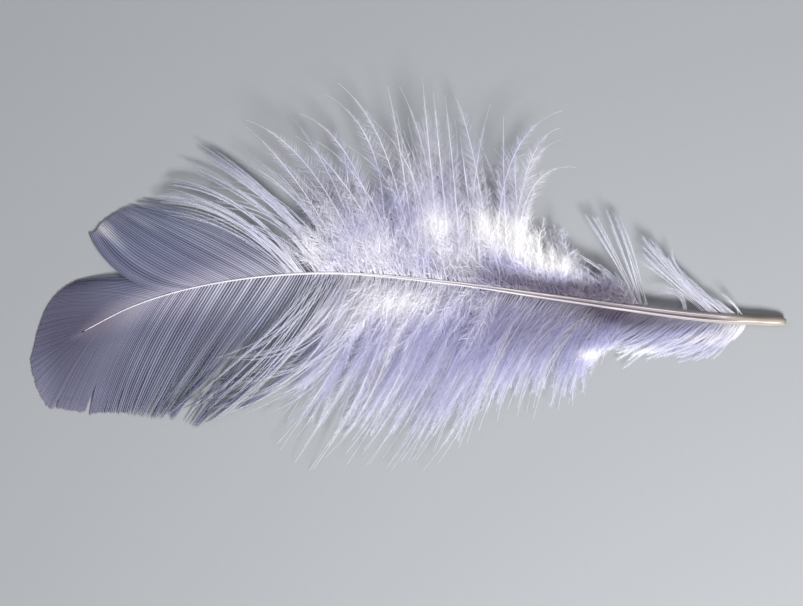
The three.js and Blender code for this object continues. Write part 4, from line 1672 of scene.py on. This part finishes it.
@dataclass
class Studio:
    """The floor, the lights and the camera straight above."""

    picture: tuple[int, int] = (803, 606)
    lens: float = 135.0
    sensor: float = 36.0
    floor_size: float = 3.0
    floor_colour: Colour = (0.25, 0.26, 0.275)
    floor_grain: float = 0.97  # the floor's darker grains, as a share of its colour
    floor_grain_scale: float = 900.0
    floor_roughness: float = 0.85
    room_colour: Colour = (0.9, 0.93, 1.0)
    room_light: float = 0.17
    lamps: tuple[Lamp, ...] = (
        Lamp("key", (0.16, -0.24, 0.3), 3.2, 0.12, (1.0, 0.99, 0.97)),
        Lamp("fill", (-0.25, 0.2, 0.4), 0.5, 0.4, (0.93, 0.95, 1.0)),
        Lamp("top", (0.05, 0.05, 0.6), 0.9, 0.35, (1.0, 1.0, 1.0)),
    )

    def build(self, quill: np.ndarray) -> None:
        """Set the whole studio up.

        Args:
            quill: The place of the quill's end, in mm.
        """
        self._floor()
        self._camera(quill)
        for lamp in self.lamps:
            lamp.hang()
        self._world()

    def _camera(self, quill: np.ndarray) -> None:
        """Hang the camera over the middle of the picture, looking down with +Y up.

        Args:
            quill: The place of the quill's end, in mm.
        """
        camera = bpy.data.cameras.new("camera")
        camera.lens = self.lens
        camera.sensor_width = self.sensor
        camera.sensor_fit = "HORIZONTAL"
        holder = bpy.data.objects.new("camera", camera)
        across = (self.picture[0] / 2 - QUILL_PIXEL[0]) * PIXEL * MM
        up = (QUILL_PIXEL[1] - self.picture[1] / 2) * PIXEL * MM
        distance = self.picture[0] * PIXEL * MM * self.lens / self.sensor
        holder.location = (quill[0] * MM + across, quill[1] * MM + up, distance)
        bpy.context.scene.collection.objects.link(holder)
        bpy.context.scene.camera = holder

    def _world(self) -> None:
        """Light the room evenly and choose how light turns into picture."""
        world = bpy.data.worlds.new("room")
        world.use_nodes = True
        room = {"Color": self.room_colour, "Strength": self.room_light}
        feed_all(world.node_tree.nodes["Background"], room)
        bpy.context.scene.world = world
        bpy.context.scene.view_settings.view_transform = "Standard"

    def _floor(self) -> None:
        """Lay the plain pale floor."""
        bpy.ops.object.select_all(action="DESELECT")
        bpy.ops.mesh.primitive_plane_add(size=self.floor_size)
        floor = bpy.context.object
        floor.name = "floor"
        material, shader, _ = new_material("floor_paper")
        tree = material.node_tree
        place = add_node(tree, "TexCoord", {}).outputs["Object"]
        noise = {"Vector": place, "Scale": self.floor_grain_scale}
        grain = add_node(tree, "TexNoise", noise).outputs["Fac"]
        darker = tuple(self.floor_grain * c for c in self.floor_colour)
        colour = mix(tree, grain, darker, self.floor_colour)
        feed_all(shader, {"Base Color": colour, "Roughness": self.floor_roughness})
        floor.data.materials.append(material)


def main() -> None:
    """Build the feather and the studio around it."""
    logging.basicConfig(level=logging.INFO, format="%(name)s: %(message)s")
    line = ShaftLine()
    tone, striation = fibre_tone_group(), striation_group()
    materials = {finish: finish.build(tone, striation) for finish in FIBRE_FINISHES}
    materials[HORN_FINISH] = HORN_FINISH.build(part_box("shaft")[1][0])
    for part in (Shaft(), *VANES, *FREE_BARBS, *DOWN):
        piece = part.build(line)
        part.dress(piece, materials[part.finish])
        mesh = piece.data
        log.info("%s: %d triangles", piece.name, len(mesh.loops) - 2 * len(mesh.polygons))
    Studio().build(line.quill())


if __name__ == "__main__":
    main()
